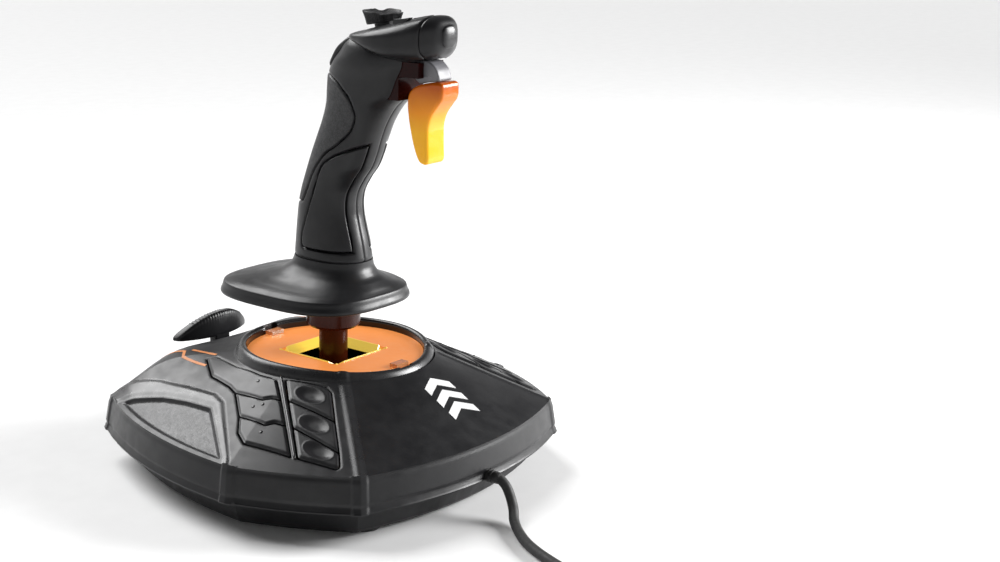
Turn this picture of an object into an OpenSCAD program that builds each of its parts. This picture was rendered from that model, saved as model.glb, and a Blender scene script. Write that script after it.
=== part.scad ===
// Flight joystick: a stick with a hand rest on a sprung two-axis gimbal, in a six-sided base.
// X is the user's right, Y points away from the user, Z is up. The rubber feet stand on z = 0
// and the upright stick's axis is the Z axis.

/* [Base] */
// Height of the base's sharp edge, where the skirt meets the roof
edge_z = 30.4; // [28:0.1:32]
// Height of the skirt's lower rim
skirt_z = 14.3; // [14.3:0.1:15]
// How far the skirt flares outwards below the edge
skirt_flare = 2.6; // [0:0.1:3]
// Height where the roof meets the raised collar
roof_top_z = 54.6; // [54:0.1:56]
// Radius where the roof meets the raised collar
roof_top_r = 47.5; // [47:0.1:48]
// Inner radius of the raised collar
collar_r = 42; // [41.8:0.1:42.4]
// How far the rear of the roof bulges up
rear_bulge = 5.5; // [0:0.1:6]

/* [Gimbal] */
// Height of the point that the stick tilts about
pivot_z = 30; // [30:0.5:31]
// Radius of the gimbal's pins
pin_r = 3; // [2.5:0.1:3.5]
// Running clearance round the gimbal's pins
pin_gap = 0.05; // [0.02:0.01:0.1]
// Radius of the stick's shaft
shaft_r = 6.8; // [6:0.1:7]

/* [Stick] */
// Height of the hand rest's lower rim
rest_z = 81.4; // [81:0.1:83]
// Height where the grip meets the hand rest
neck_z = 101.5; // [101:0.1:102]
// Wall of the grip's two shells
grip_wall = 3; // [2.6:0.1:3.4]
// Depth of the pads let into the grip
pad_depth = 1.2; // [1:0.1:1.4]

/* [Buttons] */
// Gap round a button of the base
button_gap = 0.35; // [0.3:0.05:0.5]
// How far a button of the base stands above the roof
button_rise = 0.8; // [0.4:0.1:1]

/* [Cord] */
// Diameter of the USB cord
cord_d = 4.5; // [4.4:0.1:4.6]

/* [Hidden] */

$fn = 48;
eps = 0.01;

// ---- outline of the base, anticlockwise from the front right corner ----
corners = [[69.6, 77.2], [-69.6, 77.2], [-97.4, 26.7], [-68.5, -82.4], [68.5, -82.4],
           [97.4, 26.7]];
bulges = [13.3, 2.4, 8, 8.1, 8, 2.4];
steps = [12, 7, 12, 10, 12, 7];
collar_centre = [0, 1];
edge = [for (s = [0:5])
    let (a = corners[s], b = corners[(s + 1) % 6], d = b - a, out = [d.y, -d.x] / norm(d))
    for (k = [0:steps[s] - 1])
        let (t = k / steps[s]) a + d * t + out * bulges[s] * 4 * t * (1 - t)];

// A ring round the base. u is 0 at the edge and 1 at the collar, grow moves the edge outwards.
function base_ring(u, grow, z, lift = 0) = [for (p = edge)
    let (v = p - collar_centre, far = norm(v), dir = v / far,
         q = collar_centre + dir * ((1 - u) * (far + grow) + u * roof_top_r),
         swell = rear_bulge * pow(max(0, -dir.y), 2) * 4 * u * (1 - u))
    [q.x, q.y, z + lift * swell]];
function roof_z(u) = edge_z + (roof_top_z - edge_z) * u;
function roof_ring(u, drop = 0) = base_ring(u, 0, roof_z(u) - drop, 1);
// A round ring with one point for each point of the edge; sink lowers its front.
function collar_ring(r, z, sink = 0) = [for (p = edge)
    let (v = p - collar_centre, dir = v / norm(v))
    [dir.x * r, collar_centre.y + dir.y * r, z - sink * pow(max(0, dir.y), 2)]];

// ---- meshes from rings ----
function flat(rings) = [for (r = rings) each r];
function band_faces(count, a, b) = [for (k = [0:count - 1])
    let (n = (k + 1) % count)
    each [[a * count + k, b * count + n, a * count + n],
          [a * count + k, b * count + k, b * count + n]]];
// A tube closed on itself: the rings go up the outside and down the inside.
module ring_solid(rings) {
    count = len(rings[0]);
    last = len(rings) - 1;
    polyhedron(flat(rings), [for (j = [0:last]) each band_faces(count, j, (j + 1) % (last + 1))]);
}
// A stack of rings, each above the one before, with a flat face at each end.
module stack_solid(rings) {
    count = len(rings[0]);
    last = len(rings) - 1;
    polyhedron(flat(rings), concat(
        [for (j = [0:last - 1]) each band_faces(count, j, j + 1)],
        [[for (k = [0:count - 1]) k]],
        [[for (k = [count - 1:-1:0]) last * count + k]]));
}

// A smooth shell with no bores in it, joined into one mesh.
module shell() {
    resize([0, 0, 0]) children();
}

// ---- base: shells ----
wall = 2.5;
plate_ledge_z = 53.6;
plate_top_z = 55.8;
cord_exit_z = 15.9;

module roof_slab(top, bottom) {
    ring_solid([for (u = [0.02, 0.25, 0.5, 0.75, 1.0]) roof_ring(u, -top),
                for (u = [1.0, 0.75, 0.5, 0.25, 0.02]) roof_ring(u, -bottom)]);
}
module cable_hole(r) {
    translate([0, 78, cord_exit_z]) rotate([-90, 0, 0]) cylinder(r = r, h = 22);
}

rear_buttons = [
    [[39.5, -38.5], [46, -19], [49, 0], [48.7, 9.5], [57.5, 20.5], [58.6, 15.5], [61, 12],
     [61.5, -4.5], [58.8, -11], [54.5, -27], [43, -42]],
    [[61.5, -4.5], [61, 12], [58.6, 15.5], [57.5, 20.5], [67.5, 32.6], [68.8, 27.3],
     [72, 24.5], [72.7, 9]],
    [[72.7, 9], [72, 24.5], [68.8, 27.3], [67.5, 32.6], [79, 46.5], [84.5, 23.5], [80.5, 16]]];
front_buttons = [
    [[46.8, 13], [40.2, 31.8], [41.2, 35.8], [53.2, 48.6], [56, 23.3]],
    [[56, 23.3], [53.2, 48.6], [65.3, 61.8], [66.5, 35.8]],
    [[66.5, 35.8], [65.3, 61.8], [70.5, 66.8], [72.6, 66.3], [78, 49.3]]];

module button_outline(points, gap) {
    linear_extrude(height = 60) offset(delta = -gap) polygon(points);
}
module both_sides() {
    children();
    mirror([1, 0, 0]) children();
}
// The lever's slot runs up the rear of the roof.
module lever_slot(half_w, from_y, to_y) {
    translate([-half_w, from_y, 30]) cube([2 * half_w, to_y - from_y, 26]);
}
module base_top_cover() {
    color([0.13, 0.13, 0.14]) shell() difference() {
        ring_solid([
            base_ring(0, skirt_flare, skirt_z), roof_ring(0), roof_ring(0.25), roof_ring(0.5),
            roof_ring(0.75), roof_ring(1), collar_ring(45.6, 59.6, 3), collar_ring(43.4, 60.2, 3),
            collar_ring(collar_r, 59.2, 3), collar_ring(collar_r, plate_ledge_z),
            collar_ring(39.5, plate_ledge_z), collar_ring(39.5, 51.2), collar_ring(46, 51.2),
            roof_ring(0.75, wall + 0.4), roof_ring(0.4, wall + 0.4),
            base_ring(0, -3, edge_z - 2.6), base_ring(0, -1.4, skirt_z + 3),
            base_ring(0, -8, skirt_z + 3), base_ring(0, -8, skirt_z)]);
        both_sides() {
            for (b = rear_buttons) button_outline(b, 0);
            for (b = front_buttons) button_outline(b, 0);
        }
        lever_slot(5.4, -88.5, -63);
        cable_hole(3.2);
        for (y = [-42, 42]) translate([-4.4, 1 + y - 2, plate_top_z]) cube([8.8, 4, 8]);
    }
}
module base_bottom_cover() {
    color([0.1, 0.1, 0.11]) shell() difference() {
        stack_solid([base_ring(0, -9.5, 2), base_ring(0, -8.2, 3.4), base_ring(0, -4.5, 14)]);
        stack_solid([base_ring(0, -12, 4.8), base_ring(0, -7.4, 15)]);
        cable_hole(3.2);
        for (p = screw_places) translate([p.x, p.y, 1]) {
            cylinder(r = 1.7, h = 5);
            cylinder(r = 3.4, h = 2.2);
        }
    }
}
module glow_plate() {
    color([0.95, 0.55, 0.25]) difference() {
        translate([0, 1, plate_ledge_z]) cylinder(r = 41.7, h = plate_top_z - plate_ledge_z);
        translate([-18.2, -18.2, 50]) cube([36.4, 36.4, 10]);
        for (y = [-39.4, 39.4]) translate([-4.4, 1 + y - 2.6, plate_top_z - 0.8]) cube([8.8, 5.2, 4]);
    }
}
module hole_bezel() {
    color([0.98, 0.8, 0.15]) difference() {
        translate([-18.1, -18.1, 52.2]) cube([36.2, 36.2, plate_top_z + 0.4 - 52.2]);
        translate([-14.65, -14.65, 50]) cube([29.3, 29.3, 10]);
        // the four inner faces slope down to the hole
        for (turn = [0:90:270]) rotate([0, 0, turn]) translate([14.65, -20, 54])
            rotate([0, -36, 0]) cube([8, 40, 5]);
    }
}
module lens_tabs() {
    color([0.75, 0.7, 0.65, 0.6])
        for (y = [-39.4, 39.4]) translate([-4.2, 1 + y - 2.1, plate_top_z - 0.8])
            cube([8.4, 4.2, 2.6]);
}

// ---- base: gimbal seat and electronics ----
housing_half = [38, 32];
upright_y = [24.5, 29.5];
module gimbal_housing() {
    color([0.16, 0.16, 0.17]) difference() {
        union() {
            translate([-housing_half.x, -housing_half.y, 4.8])
                cube([2 * housing_half.x, 2 * housing_half.y, 2.2]);
            for (side = [-1, 1]) translate([0, side * (upright_y[0] + upright_y[1]) / 2, 0]) {
                translate([-9, -2.5, 5]) cube([18, 5, pivot_z - 5]);
                translate([0, 2.5, pivot_z]) rotate([90, 0, 0]) cylinder(r = 9, h = 5);
            }
        }
        translate([0, 40, pivot_z]) rotate([90, 0, 0]) cylinder(r = pin_r + pin_gap, h = 80);
        for (x = [-33, 33], y = [-27, 27]) translate([x, y, 4]) cylinder(r = 1.6, h = 4);
    }
}
module main_circuit_board() {
    color([0.05, 0.3, 0.15]) {
        translate([-34, 38, 9]) cube([68, 30, 1.6]);
        for (x = [-30, 30], y = [42, 64]) translate([x, y, 4.8]) cylinder(r = 2.5, h = 4.4);
        translate([-7, 46, 10.4]) cube([14, 14, 1.4]);
        translate([-26, 52, 10.4]) cube([9, 6, 1.2]);
        translate([14, 48, 10.4]) cube([12, 5, 5]);
    }
}
module sensor_board() {
    color([0.05, 0.3, 0.15]) translate([-10, -10, 7]) {
        cube([20, 20, 1.2]);
        translate([8, 8, 1]) cube([4, 4, 0.9]);
    }
}
module button_boards() {
    color([0.05, 0.3, 0.15]) shell() both_sides() intersection() {
        roof_slab(-9.2, -10.8);
        linear_extrude(height = 60) polygon([[52, -22], [51, 22], [66, 55], [76, 44], [78, 14]]);
    }
}
switch_places = [[54, 0], [65.5, 15], [76, 28], [51, 30], [60.5, 43], [70.5, 53]];
module button_switches() {
    color([0.2, 0.2, 0.2]) shell() both_sides() for (p = switch_places) intersection() {
        roof_slab(-5.6, -9.2);
        translate([p.x - 3, p.y - 3, 0]) cube([6, 6, 60]);
    }
}
slope = atan2(roof_top_z - edge_z, 91 - 46.5);
module slider_potentiometer() {
    color([0.6, 0.6, 0.62]) translate([0, -75, 26.6]) rotate([slope, 0, 0]) difference() {
        translate([-5, -13, -3.5]) cube([10, 26, 7]);
        translate([-1.6, -11, 0]) cube([3.2, 22, 6]);
    }
}
module ballast_plate() {
    color([0.5, 0.5, 0.52]) difference() {
        translate([-42, -72, 4.8]) cube([84, 30, 3]);
        for (x = [-34, 34]) translate([x, -57, 4]) cylinder(r = 2.2, h = 5);
    }
}
feet_places = [[75.5, -8], [-75.5, -8], [50, -68], [-50, -68], [52, 65], [-52, 65]];
module rubber_feet() {
    color([0.06, 0.06, 0.06]) for (p = feet_places) translate([p.x, p.y, 0]) {
        cylinder(r1 = 6.6, r2 = 7, h = 0.6);
        translate([0, 0, 0.6]) cylinder(r = 7, h = 1.4);
    }
}
screw_places = [[76, 36], [-76, 36], [66, -54], [-66, -54], [22, 72], [-22, 72]];
module bottom_screws() {
    color([0.4, 0.4, 0.42]) for (p = screw_places) translate([p.x, p.y, 1.2]) {
        difference() {
            cylinder(r = 3.2, h = 2);
            translate([-2.2, -0.5, -1]) cube([4.4, 1, 1.9]);
            translate([-0.5, -2.2, -1]) cube([1, 4.4, 1.9]);
        }
        cylinder(r = 1.5, h = 10);
    }
}
module cable_gland() {
    color([0.06, 0.06, 0.06]) translate([0, gland_y[0], cord_exit_z]) rotate([-90, 0, 0]) {
        cylinder(r = 4.6, h = 3);
        cylinder(r = 3.1, h = gland_taper);
        translate([0, 0, gland_taper])
            cylinder(r1 = 3.1, r2 = 2.5, h = gland_y[1] - gland_y[0] - gland_taper);
    }
}
gland_y = [78, 99];
gland_taper = 15;

// ---- base: marks ----
// Three plain chevrons lie on the front panel.
module front_emblem() {
    color([0.95, 0.95, 0.95]) shell() intersection() {
        roof_slab(0.4, 0.15);
        for (k = [0:2]) translate([-6, 54 + 7 * k, 0]) linear_extrude(height = 60)
            polygon([[-9, 4], [0, 0], [9, 4], [9, 8], [0, 4], [-9, 8]]);
    }
}
// Thin stripes run rearwards from the rear buttons.
stripes = [
    [[40.5, -44.2], [38.2, -46.5], [38.6, -56], [36.9, -56.8], [36.5, -46], [39.4, -43.2]],
    [[45.5, -38], [47.2, -50], [44.4, -55.6], [47, -72], [48.6, -71.6], [46.1, -55.8],
     [48.9, -50.2], [47.2, -38]]];
module side_stripes() {
    color([0.95, 0.45, 0.1]) shell() both_sides() intersection() {
        roof_slab(0.35, 0.15);
        for (s = stripes) linear_extrude(height = 60) polygon(s);
    }
}

// ---- base: buttons and lever ----
module base_button(points) {
    color([0.15, 0.15, 0.16]) shell() intersection() {
        roof_slab(button_rise, -4.2);
        button_outline(points, button_gap);
    }
}
module right_rear_button_1() { base_button(rear_buttons[0]); }
module right_rear_button_2() { base_button(rear_buttons[1]); }
module right_rear_button_3() { base_button(rear_buttons[2]); }
module right_front_button_1() { base_button(front_buttons[0]); }
module right_front_button_2() { base_button(front_buttons[1]); }
module right_front_button_3() { base_button(front_buttons[2]); }
module left_rear_button_1() { mirror([1, 0, 0]) right_rear_button_1(); }
module left_rear_button_2() { mirror([1, 0, 0]) right_rear_button_2(); }
module left_rear_button_3() { mirror([1, 0, 0]) right_rear_button_3(); }
module left_front_button_1() { mirror([1, 0, 0]) right_front_button_1(); }
module left_front_button_2() { mirror([1, 0, 0]) right_front_button_2(); }
module left_front_button_3() { mirror([1, 0, 0]) right_front_button_3(); }

lever_y = -77;
stem_z = 36;
paddle_z = 47.6;
paddle_top_z = 60.3;
curl_r = 40;
module throttle_lever() {
    color([0.12, 0.12, 0.13]) translate([0, lever_y, 0]) {
        translate([-5, -2.5, stem_z]) cube([10, 5, paddle_z - stem_z + 1]);
        // a half-moon paddle that curls rearwards at its tips
        intersection() {
            difference() {
                translate([0, -curl_r, paddle_z]) cylinder(r = curl_r + 2.8, h = 14);
                translate([0, -curl_r, paddle_z - 1]) cylinder(r = curl_r - 2.8, h = 16);
            }
            translate([0, 20, paddle_top_z - 31]) rotate([90, 0, 0]) cylinder(r = 31, h = 60);
            translate([-24, -30, paddle_z]) cube([48, 40, 14]);
        }
    }
}

// ---- gimbal ----
ring_in = [17, 18];
ring_out = [21, 22];
module gimbal_ring() {
    color([0.2, 0.2, 0.21]) difference() {
        union() {
            translate([-ring_out.x, -ring_out.y, pivot_z - 6])
                cube([2 * ring_out.x, 2 * ring_out.y, 12]);
            for (side = [-1, 1]) translate([0, side * 29.8, pivot_z]) rotate([90, 0, 0])
                cylinder(r = pin_r, h = 17, center = true);
        }
        translate([-ring_in.x, -ring_in.y, pivot_z - 7]) cube([2 * ring_in.x, 2 * ring_in.y, 14]);
        translate([-30, 0, pivot_z]) rotate([0, 90, 0]) cylinder(r = pin_r + pin_gap, h = 60);
    }
}
coil_turns = 5;
module spring_sleeve(inner) {
    rotate_extrude() for (k = [0:coil_turns - 1]) translate([inner + 0.7, 0.7 + 1.2 * k])
        circle(r = 0.7, $fn = 16);
}
module roll_springs() {
    color([0.75, 0.75, 0.77]) for (side = [-1, 1])
        translate([0, side * 30, pivot_z]) rotate([side * -90, 0, 0]) spring_sleeve(4);
}
module pitch_springs() {
    color([0.75, 0.75, 0.77]) for (side = [-1, 1])
        translate([side * 21.4, 0, pivot_z]) rotate([0, side * 90, 0]) spring_sleeve(4);
}
hub_z = [22, 38];
module gimbal_hub() {
    color([0.22, 0.22, 0.23]) difference() {
        union() {
            translate([0, 0, hub_z[0]]) cylinder(r = 11, h = hub_z[1] - hub_z[0]);
            for (side = [-1, 1]) translate([side * 18.8, 0, pivot_z]) rotate([0, 90, 0])
                cylinder(r = pin_r, h = 19, center = true);
        }
        translate([0, 0, 20]) cylinder(r = shaft_r + pin_gap, h = 20);
    }
}
module twist_sensor() {
    color([0.1, 0.1, 0.1]) difference() {
        translate([0, 0, 12.2]) cylinder(r = 11, h = hub_z[0] - 12.2);
        translate([0, 0, 13.6]) cylinder(r = 9.8, h = 10);
    }
}
module sensor_magnet() {
    color([0.7, 0.7, 0.72]) translate([0, 0, 10.2]) cylinder(r = 4, h = 2);
}

// ---- shaft and hand rest ----
module stick_shaft() {
    color([0.75, 0.33, 0.04]) difference() {
        union() {
            translate([0, 0, 17.5]) cylinder(r = shaft_r, h = 92.5);
            translate([0, 0, hub_z[1] + 0.2]) cylinder(r = 9, h = 3);
        }
        translate([0, 0, 25]) cylinder(r = 4.4, h = 90);
    }
}
module retaining_ring() {
    color([0.6, 0.6, 0.62]) translate([0, 0, 20]) difference() {
        cylinder(r = 9.2, h = 1.7);
        translate([0, 0, -1]) cylinder(r = shaft_r, h = 4);
    }
}
module shaft_collar() {
    color([0.45, 0.17, 0.05]) difference() {
        rotate_extrude() polygon([[shaft_r, 68], [11.6, 68], [12.8, 69.2], [12.8, 80],
                                  [14.5, 83], [14.5, 85.5], [shaft_r, 85.5]]);
    }
}

// A level ring with rounded corners: the higher the power, the squarer the ring.
function squircle(half_x, half_y, centre_y, z, power, count) = [for (k = [0:count - 1])
    let (a = 360 * k / count, c = cos(a), s = sin(a))
    [sign(c) * half_x * pow(abs(c), 2 / power),
     centre_y + sign(s) * half_y * pow(abs(s), 2 / power), z]];

// Each row is half width, half depth, centre y, z and corner power, outside then inside.
rest_rows = [
    [15.0, 19.5, 0, neck_z - 0.2, 2.3], [15.7, 20.2, -0.4, 98.5, 2.3],
    [18.2, 23.2, -1.7, 95, 2.3], [23.0, 28.8, -4.4, 92, 2.4], [29.0, 34.8, -8.2, 89.8, 2.6],
    [33.6, 39.2, -11.2, 88.2, 2.9], [35, 40.8, -12, 87.3, 3], [35.6, 41.4, -12, 86.6, 3],
    [37, 42.8, -12, rest_z + 0.7, 3], [36.4, 42.2, -12, rest_z, 3],
    [34.4, 40.2, -12, rest_z, 3], [33, 38.8, -11.6, 84.4, 2.9], [26.5, 32, -8, 86.2, 2.6],
    [19, 22, -3, 88.6, 2.3], [14.7, 14.7, 0, 91.5, 2], [7.1, 7.1, 0, 92, 2],
    [7.1, 7.1, 0, neck_z - 0.2, 2]];
module hand_rest() {
    color([0.11, 0.11, 0.12])
        ring_solid([for (r = [len(rest_rows) - 1:-1:0])
            squircle(rest_rows[r][0], rest_rows[r][1], rest_rows[r][2], rest_rows[r][3],
                     rest_rows[r][4], 40)]);
}

// ---- grip ----
// Each row is z, centre y, half width and half depth.
grip_rows = [
    [neck_z, 0, 14.8, 19.5], [110, -0.6, 14, 18.4], [118, -1.4, 13.2, 17],
    [124, -1.75, 12.8, 16], [133, -0.4, 12.6, 15.2], [140, 2.8, 13, 15.9],
    [146, 6.2, 13.5, 17], [152, 8.8, 13.7, 17.2], [160, 12, 14, 16.8], [167, 15, 14.2, 16.8],
    [174, 18.4, 14.8, 18], [181, 22, 15.4, 21.2], [188, 24, 16, 22.3],
    [194.8, 27.4, 16.6, 22], [198.6, 29, 15.6, 20.5]];
module grip_body(grow) {
    stack_solid([for (r = grip_rows)
        squircle(r[2] + grow, r[3] + grow, r[1], r[0], 2.3, 28)]);
}
module grip_core() {
    // the hollow runs out through both ends
    stack_solid([for (k = [0:len(grip_rows) - 1])
        let (r = grip_rows[k], lift = k == 0 ? -1 : k == len(grip_rows) - 1 ? 1 : 0)
        squircle(r[2] - grip_wall, r[3] - grip_wall, r[1], r[0] + lift, 2.3, 28)]);
}
// Outlines of the inset pads, seen from the side, in y and z.
palm_outline = [[-24, 126], [-9, 127], [-5.5, 134], [-1, 143], [6, 151.5], [14, 156.5],
                [21.5, 163], [25, 171], [22.5, 179], [15, 186], [6, 189], [-24, 189]];
rest_outline = [[-9, 112], [-4, 128], [1, 141], [4.5, 147.5], [12, 152], [22, 156],
                [38, 161.5], [40, 106], [-8, 106]];
module side_prism(outline, from_x, to_x, gap) {
    translate([from_x, 0, 0]) rotate([90, 0, 90]) linear_extrude(height = to_x - from_x)
        offset(delta = -gap) polygon(outline);
}
module palm_prism(gap) {
    side_prism(palm_outline, -5 + gap, 30, gap);
}
module rest_prism(gap) {
    side_prism(rest_outline, 5.5 + gap, 30, gap);
}
module pad_skin() {
    difference() {
        grip_body(0);
        grip_body(-pad_depth);
    }
}
module recess(deep) {
    difference() {
        children();
        grip_body(-deep);
    }
}
module grip_shell(side) {
    color([0.13, 0.13, 0.14]) shell() difference() {
        grip_body(0);
        grip_core();
        translate([side > 0 ? -60 : 0.05 * side, -60, 90]) cube([60, 160, 120]);
        recess(pad_depth + 0.15) palm_prism(0);
        recess(pad_depth + 0.15) mirror([side > 0 ? 0 : 1, 0, 0]) rest_prism(0);
        rear_button_room();
        translate([-8.9, 37, 179]) cube([17.8, 30, 24]);
    }
}
module grip_right_shell() { grip_shell(1); }
module grip_left_shell() { grip_shell(-1); }
module palm_pad() {
    color([0.09, 0.09, 0.09]) shell() intersection() {
        pad_skin();
        palm_prism(0.15);
    }
}
module right_side_rest() {
    color([0.15, 0.15, 0.16]) shell() intersection() {
        pad_skin();
        rest_prism(0.15);
    }
}
module left_side_rest() { mirror([1, 0, 0]) right_side_rest(); }

// ---- head ----
// Each row is y, half width, low z and high z.
head_rows = [
    [18.2, 9.5, 200.4, 206.8], [21, 12.8, 199.4, 207.8], [26, 15.4, 198.8, 209],
    [32, 17.2, 198.8, 210.6], [40, 17.8, 198.8, 212.4], [48, 17.2, 198.8, 214.2],
    [55, 15.2, 199, 215.8], [60, 12.2, 199.8, 216.4], [63.6, 8.6, 201.6, 215],
    [65.6, 5, 204, 212.6]];
seam_y = 59;
head_power = 2.8;
function head_ring(row, shrink, push) = [for (k = [0:31])
    let (a = 360 * k / 32, c = cos(a), s = sin(a), mid = (row[2] + row[3]) / 2,
         half = (row[3] - row[2]) / 2)
    [sign(c) * (row[1] - shrink) * pow(abs(c), 2 / head_power), row[0] + push,
     mid + sign(s) * (half - shrink) * pow(abs(s), 2 / head_power)]];
module head_body() {
    stack_solid([for (k = [len(head_rows) - 1:-1:0]) head_ring(head_rows[k], 0, 0)]);
}
module head_core() {
    stack_solid([for (k = [len(head_rows) - 2:-1:0])
        head_ring(head_rows[k], 2.2, k == 0 ? 2.2 : 0)]);
}
hat_place = [0, 30.4, 206.2];
hat_tilt = 11;
module head_hollow() {
    head_core();
    // open underneath, for the grip, the trigger and the wiring
    translate([-8.3, 21.6, 190]) cube([16.6, 34, 11.6]);
    translate(hat_place) rotate([hat_tilt, 0, 0]) cylinder(r = 7, h = 12, $fn = 32);
    head_button_shape(1, 0.35);
    head_button_shape(-1, 0.35);
    rear_button_room();
}
module head_shell() {
    color([0.15, 0.15, 0.16]) shell() difference() {
        head_body();
        head_hollow();
        translate([-30, seam_y - 0.1, 180]) cube([60, 40, 60]);
    }
}
module head_nose() {
    color([0.17, 0.17, 0.18]) shell() difference() {
        head_body();
        head_hollow();
        translate([-30, seam_y + 0.1 - 60, 180]) cube([60, 60, 60]);
    }
}
// Two slim buttons lie side by side in front of the hat.
module head_button_shape(side, grow) {
    translate([side * 7.4, 43.5, 200 - 4 * grow]) linear_extrude(height = 17 + 8 * grow) union() {
        circle(r = 3 + grow);
        translate([-3 - grow, 0]) square([6 + 2 * grow, 4]);
        translate([0, 4]) circle(r = 3 + grow);
    }
}
module head_button(side) {
    color([0.1, 0.1, 0.1]) difference() {
        head_button_shape(side, 0);
        translate([side * 7.4 - 5, 38, 190]) cube([10, 18, 17]);
        // its top follows the head's top
        translate([side * 7.4 - 6, 39, 213.2]) rotate([12, 0, 0]) cube([12, 20, 10]);
    }
}
module head_left_button() { head_button(-1); }
module head_right_button() { head_button(1); }
rear_button_line = [[7, 193.4], [10.6, 199], [16.4, 203.4]];
rear_dir = [0, 0.75, -0.66];
module rear_button_body(r) {
    hull() for (p = rear_button_line, x = [-7.5, 7.5])
        translate([x, p[0], p[1]]) sphere(r = r, $fn = 20);
}
module rear_button_room() {
    hull() {
        rear_button_body(2.9);
        translate(1.6 * rear_dir) rear_button_body(2.9);
        translate(-4 * rear_dir) rear_button_body(2.9);
    }
}
module head_rear_button() {
    color([0.2, 0.2, 0.21]) rear_button_body(2.4);
}
hat_pin_r = 1.2;
module head_circuit_board() {
    color([0.05, 0.3, 0.15]) difference() {
        union() {
            translate([-8, 22, 199.2]) cube([16, 17, 1.4]);
            for (side = [-1, 1]) translate([side * 4.3 - 0.8, hat_place.y - 2, 200.4])
                cube([1.6, 4, 7.8]);
        }
        translate(hat_place - [10, 0, 0]) rotate([0, 90, 0]) cylinder(r = hat_pin_r + pin_gap, h = 20);
    }
}
// A small cross with one pin for each way that the hat tips.
module hat_rocker() {
    color([0.1, 0.1, 0.1]) translate(hat_place) {
        translate([-5.4, 0, 0]) rotate([0, 90, 0]) cylinder(r = hat_pin_r, h = 10.8);
        translate([0, 4.4, 0]) rotate([90, 0, 0]) cylinder(r = hat_pin_r, h = 8.8);
    }
}
module hat_cap() {
    color([0.07, 0.07, 0.07]) translate(hat_place) difference() {
        union() {
            for (side = [-1, 1]) translate([-1.9, side * 3.4 - 0.8, -1.9]) cube([3.8, 1.6, 6]);
            rotate([hat_tilt, 0, 0]) {
                translate([0, 0, 3.1]) cylinder(r = 4.4, h = 3.7);
                translate([0, 0, 5.6]) cylinder(r1 = 8, r2 = 6.8, h = 1.8);
                intersection() {
                    translate([0, 0, 5.6]) cylinder(r1 = 8.4, r2 = 9.6, h = 6.8);
                    for (turn = [0, 90]) rotate([0, 0, turn])
                        translate([-11, -4.6, 5.6]) cube([22, 9.2, 6.8]);
                }
            }
        }
        // the dished top falls towards the front
        rotate([hat_tilt, 0, 0]) translate([0, 4.5, 29.8]) sphere(r = 22, $fn = 96);
        translate([0, 10, 0]) rotate([90, 0, 0]) cylinder(r = hat_pin_r + pin_gap, h = 20);
    }
}

// ---- trigger ----
trigger_pivot = [0, 53, 193.4];
blade_outline = [[48.1, 182.2], [50.6, 185.2], [53.6, 186.8], [57, 187.7], [62, 188.6],
                 [67, 188.8], [67.2, 181.8], [64.4, 178.4], [61, 174], [59.4, 168.6],
                 [59.6, 160.8], [60, 153.6], [58.5, 152], [55, 152.6], [53, 156],
                 [50.8, 162], [48.9, 169.8], [47.8, 176.8]];
arm_outline = [[53.6, 187], [57, 187.9], [62, 188.8], [64.6, 189], [62.4, 194.6], [58.6, 197.4],
               [52.4, 197.4], [49.4, 195], [49.2, 191.4], [51, 188.6]];
module yz_plate(outline, half_x) {
    translate([-half_x, 0, 0]) rotate([90, 0, 90]) linear_extrude(height = 2 * half_x)
        polygon(outline);
}
module trigger_blade() {
    color([0.95, 0.6, 0.1, 0.8]) yz_plate(blade_outline, 6.5);
}
module trigger_arm() {
    color([0.5, 0.5, 0.52]) difference() {
        yz_plate(arm_outline, 4.6);
        translate([-10, trigger_pivot.y, trigger_pivot.z]) rotate([0, 90, 0])
            cylinder(r = 1.55, h = 20);
    }
}
module trigger_housing() {
    color([0.05, 0.03, 0.03]) {
        difference() {
            translate([-8.6, 37.3, 179.3]) cube([17.2, 7.7, 19]);
            translate([-6.4, 35, 181.3]) cube([12.8, 7.7, 19]);
        }
        for (side = [-1, 1]) translate([side * 6.8 - 1.8, 44.5, 189.9])
            cube([3.6, 11.5, 6.6]);
        translate([-6, trigger_pivot.y, trigger_pivot.z]) rotate([0, 90, 0])
            cylinder(r = 1.5, h = 12);
    }
}

// ---- cord ----
// The cord leaves the gland, drops to the table and joins the coil; the tail ends at the plug.
cord_points = [[0, 99, 15.9], [0.4, 102.5, 13.6], [1.6, 106, 9.6], [4.2, 109.6, 5.6],
               [8.4, 113, 3.2], [13, 117.6, 2.3], [18.6, 123.8, 2.25], [23.6, 130.4, 2.25],
               [27.6, 137.4, 2.25], [31, 145, 2.25], [34, 153, 2.25], [37.2, 162, 2.25],
               [40.8, 172, 2.25], [45, 183, 2.25], [49.8, 194, 2.25], [55, 204.6, 2.25],
               [61.4, 216.2, 2.25]];
tail_points = [[121.8, 200, 15.7], [122.2, 191, 14.2], [122.9, 182, 10.4], [123.6, 173, 6.4],
               [124, 164, 4.4], [124, 158, 4.2]];
coil_place = [90, 202, 0];
coil_mid_r = 25.5;
coil_half = [9, 9];
plug_place = [124, 158, 4.2];
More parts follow.
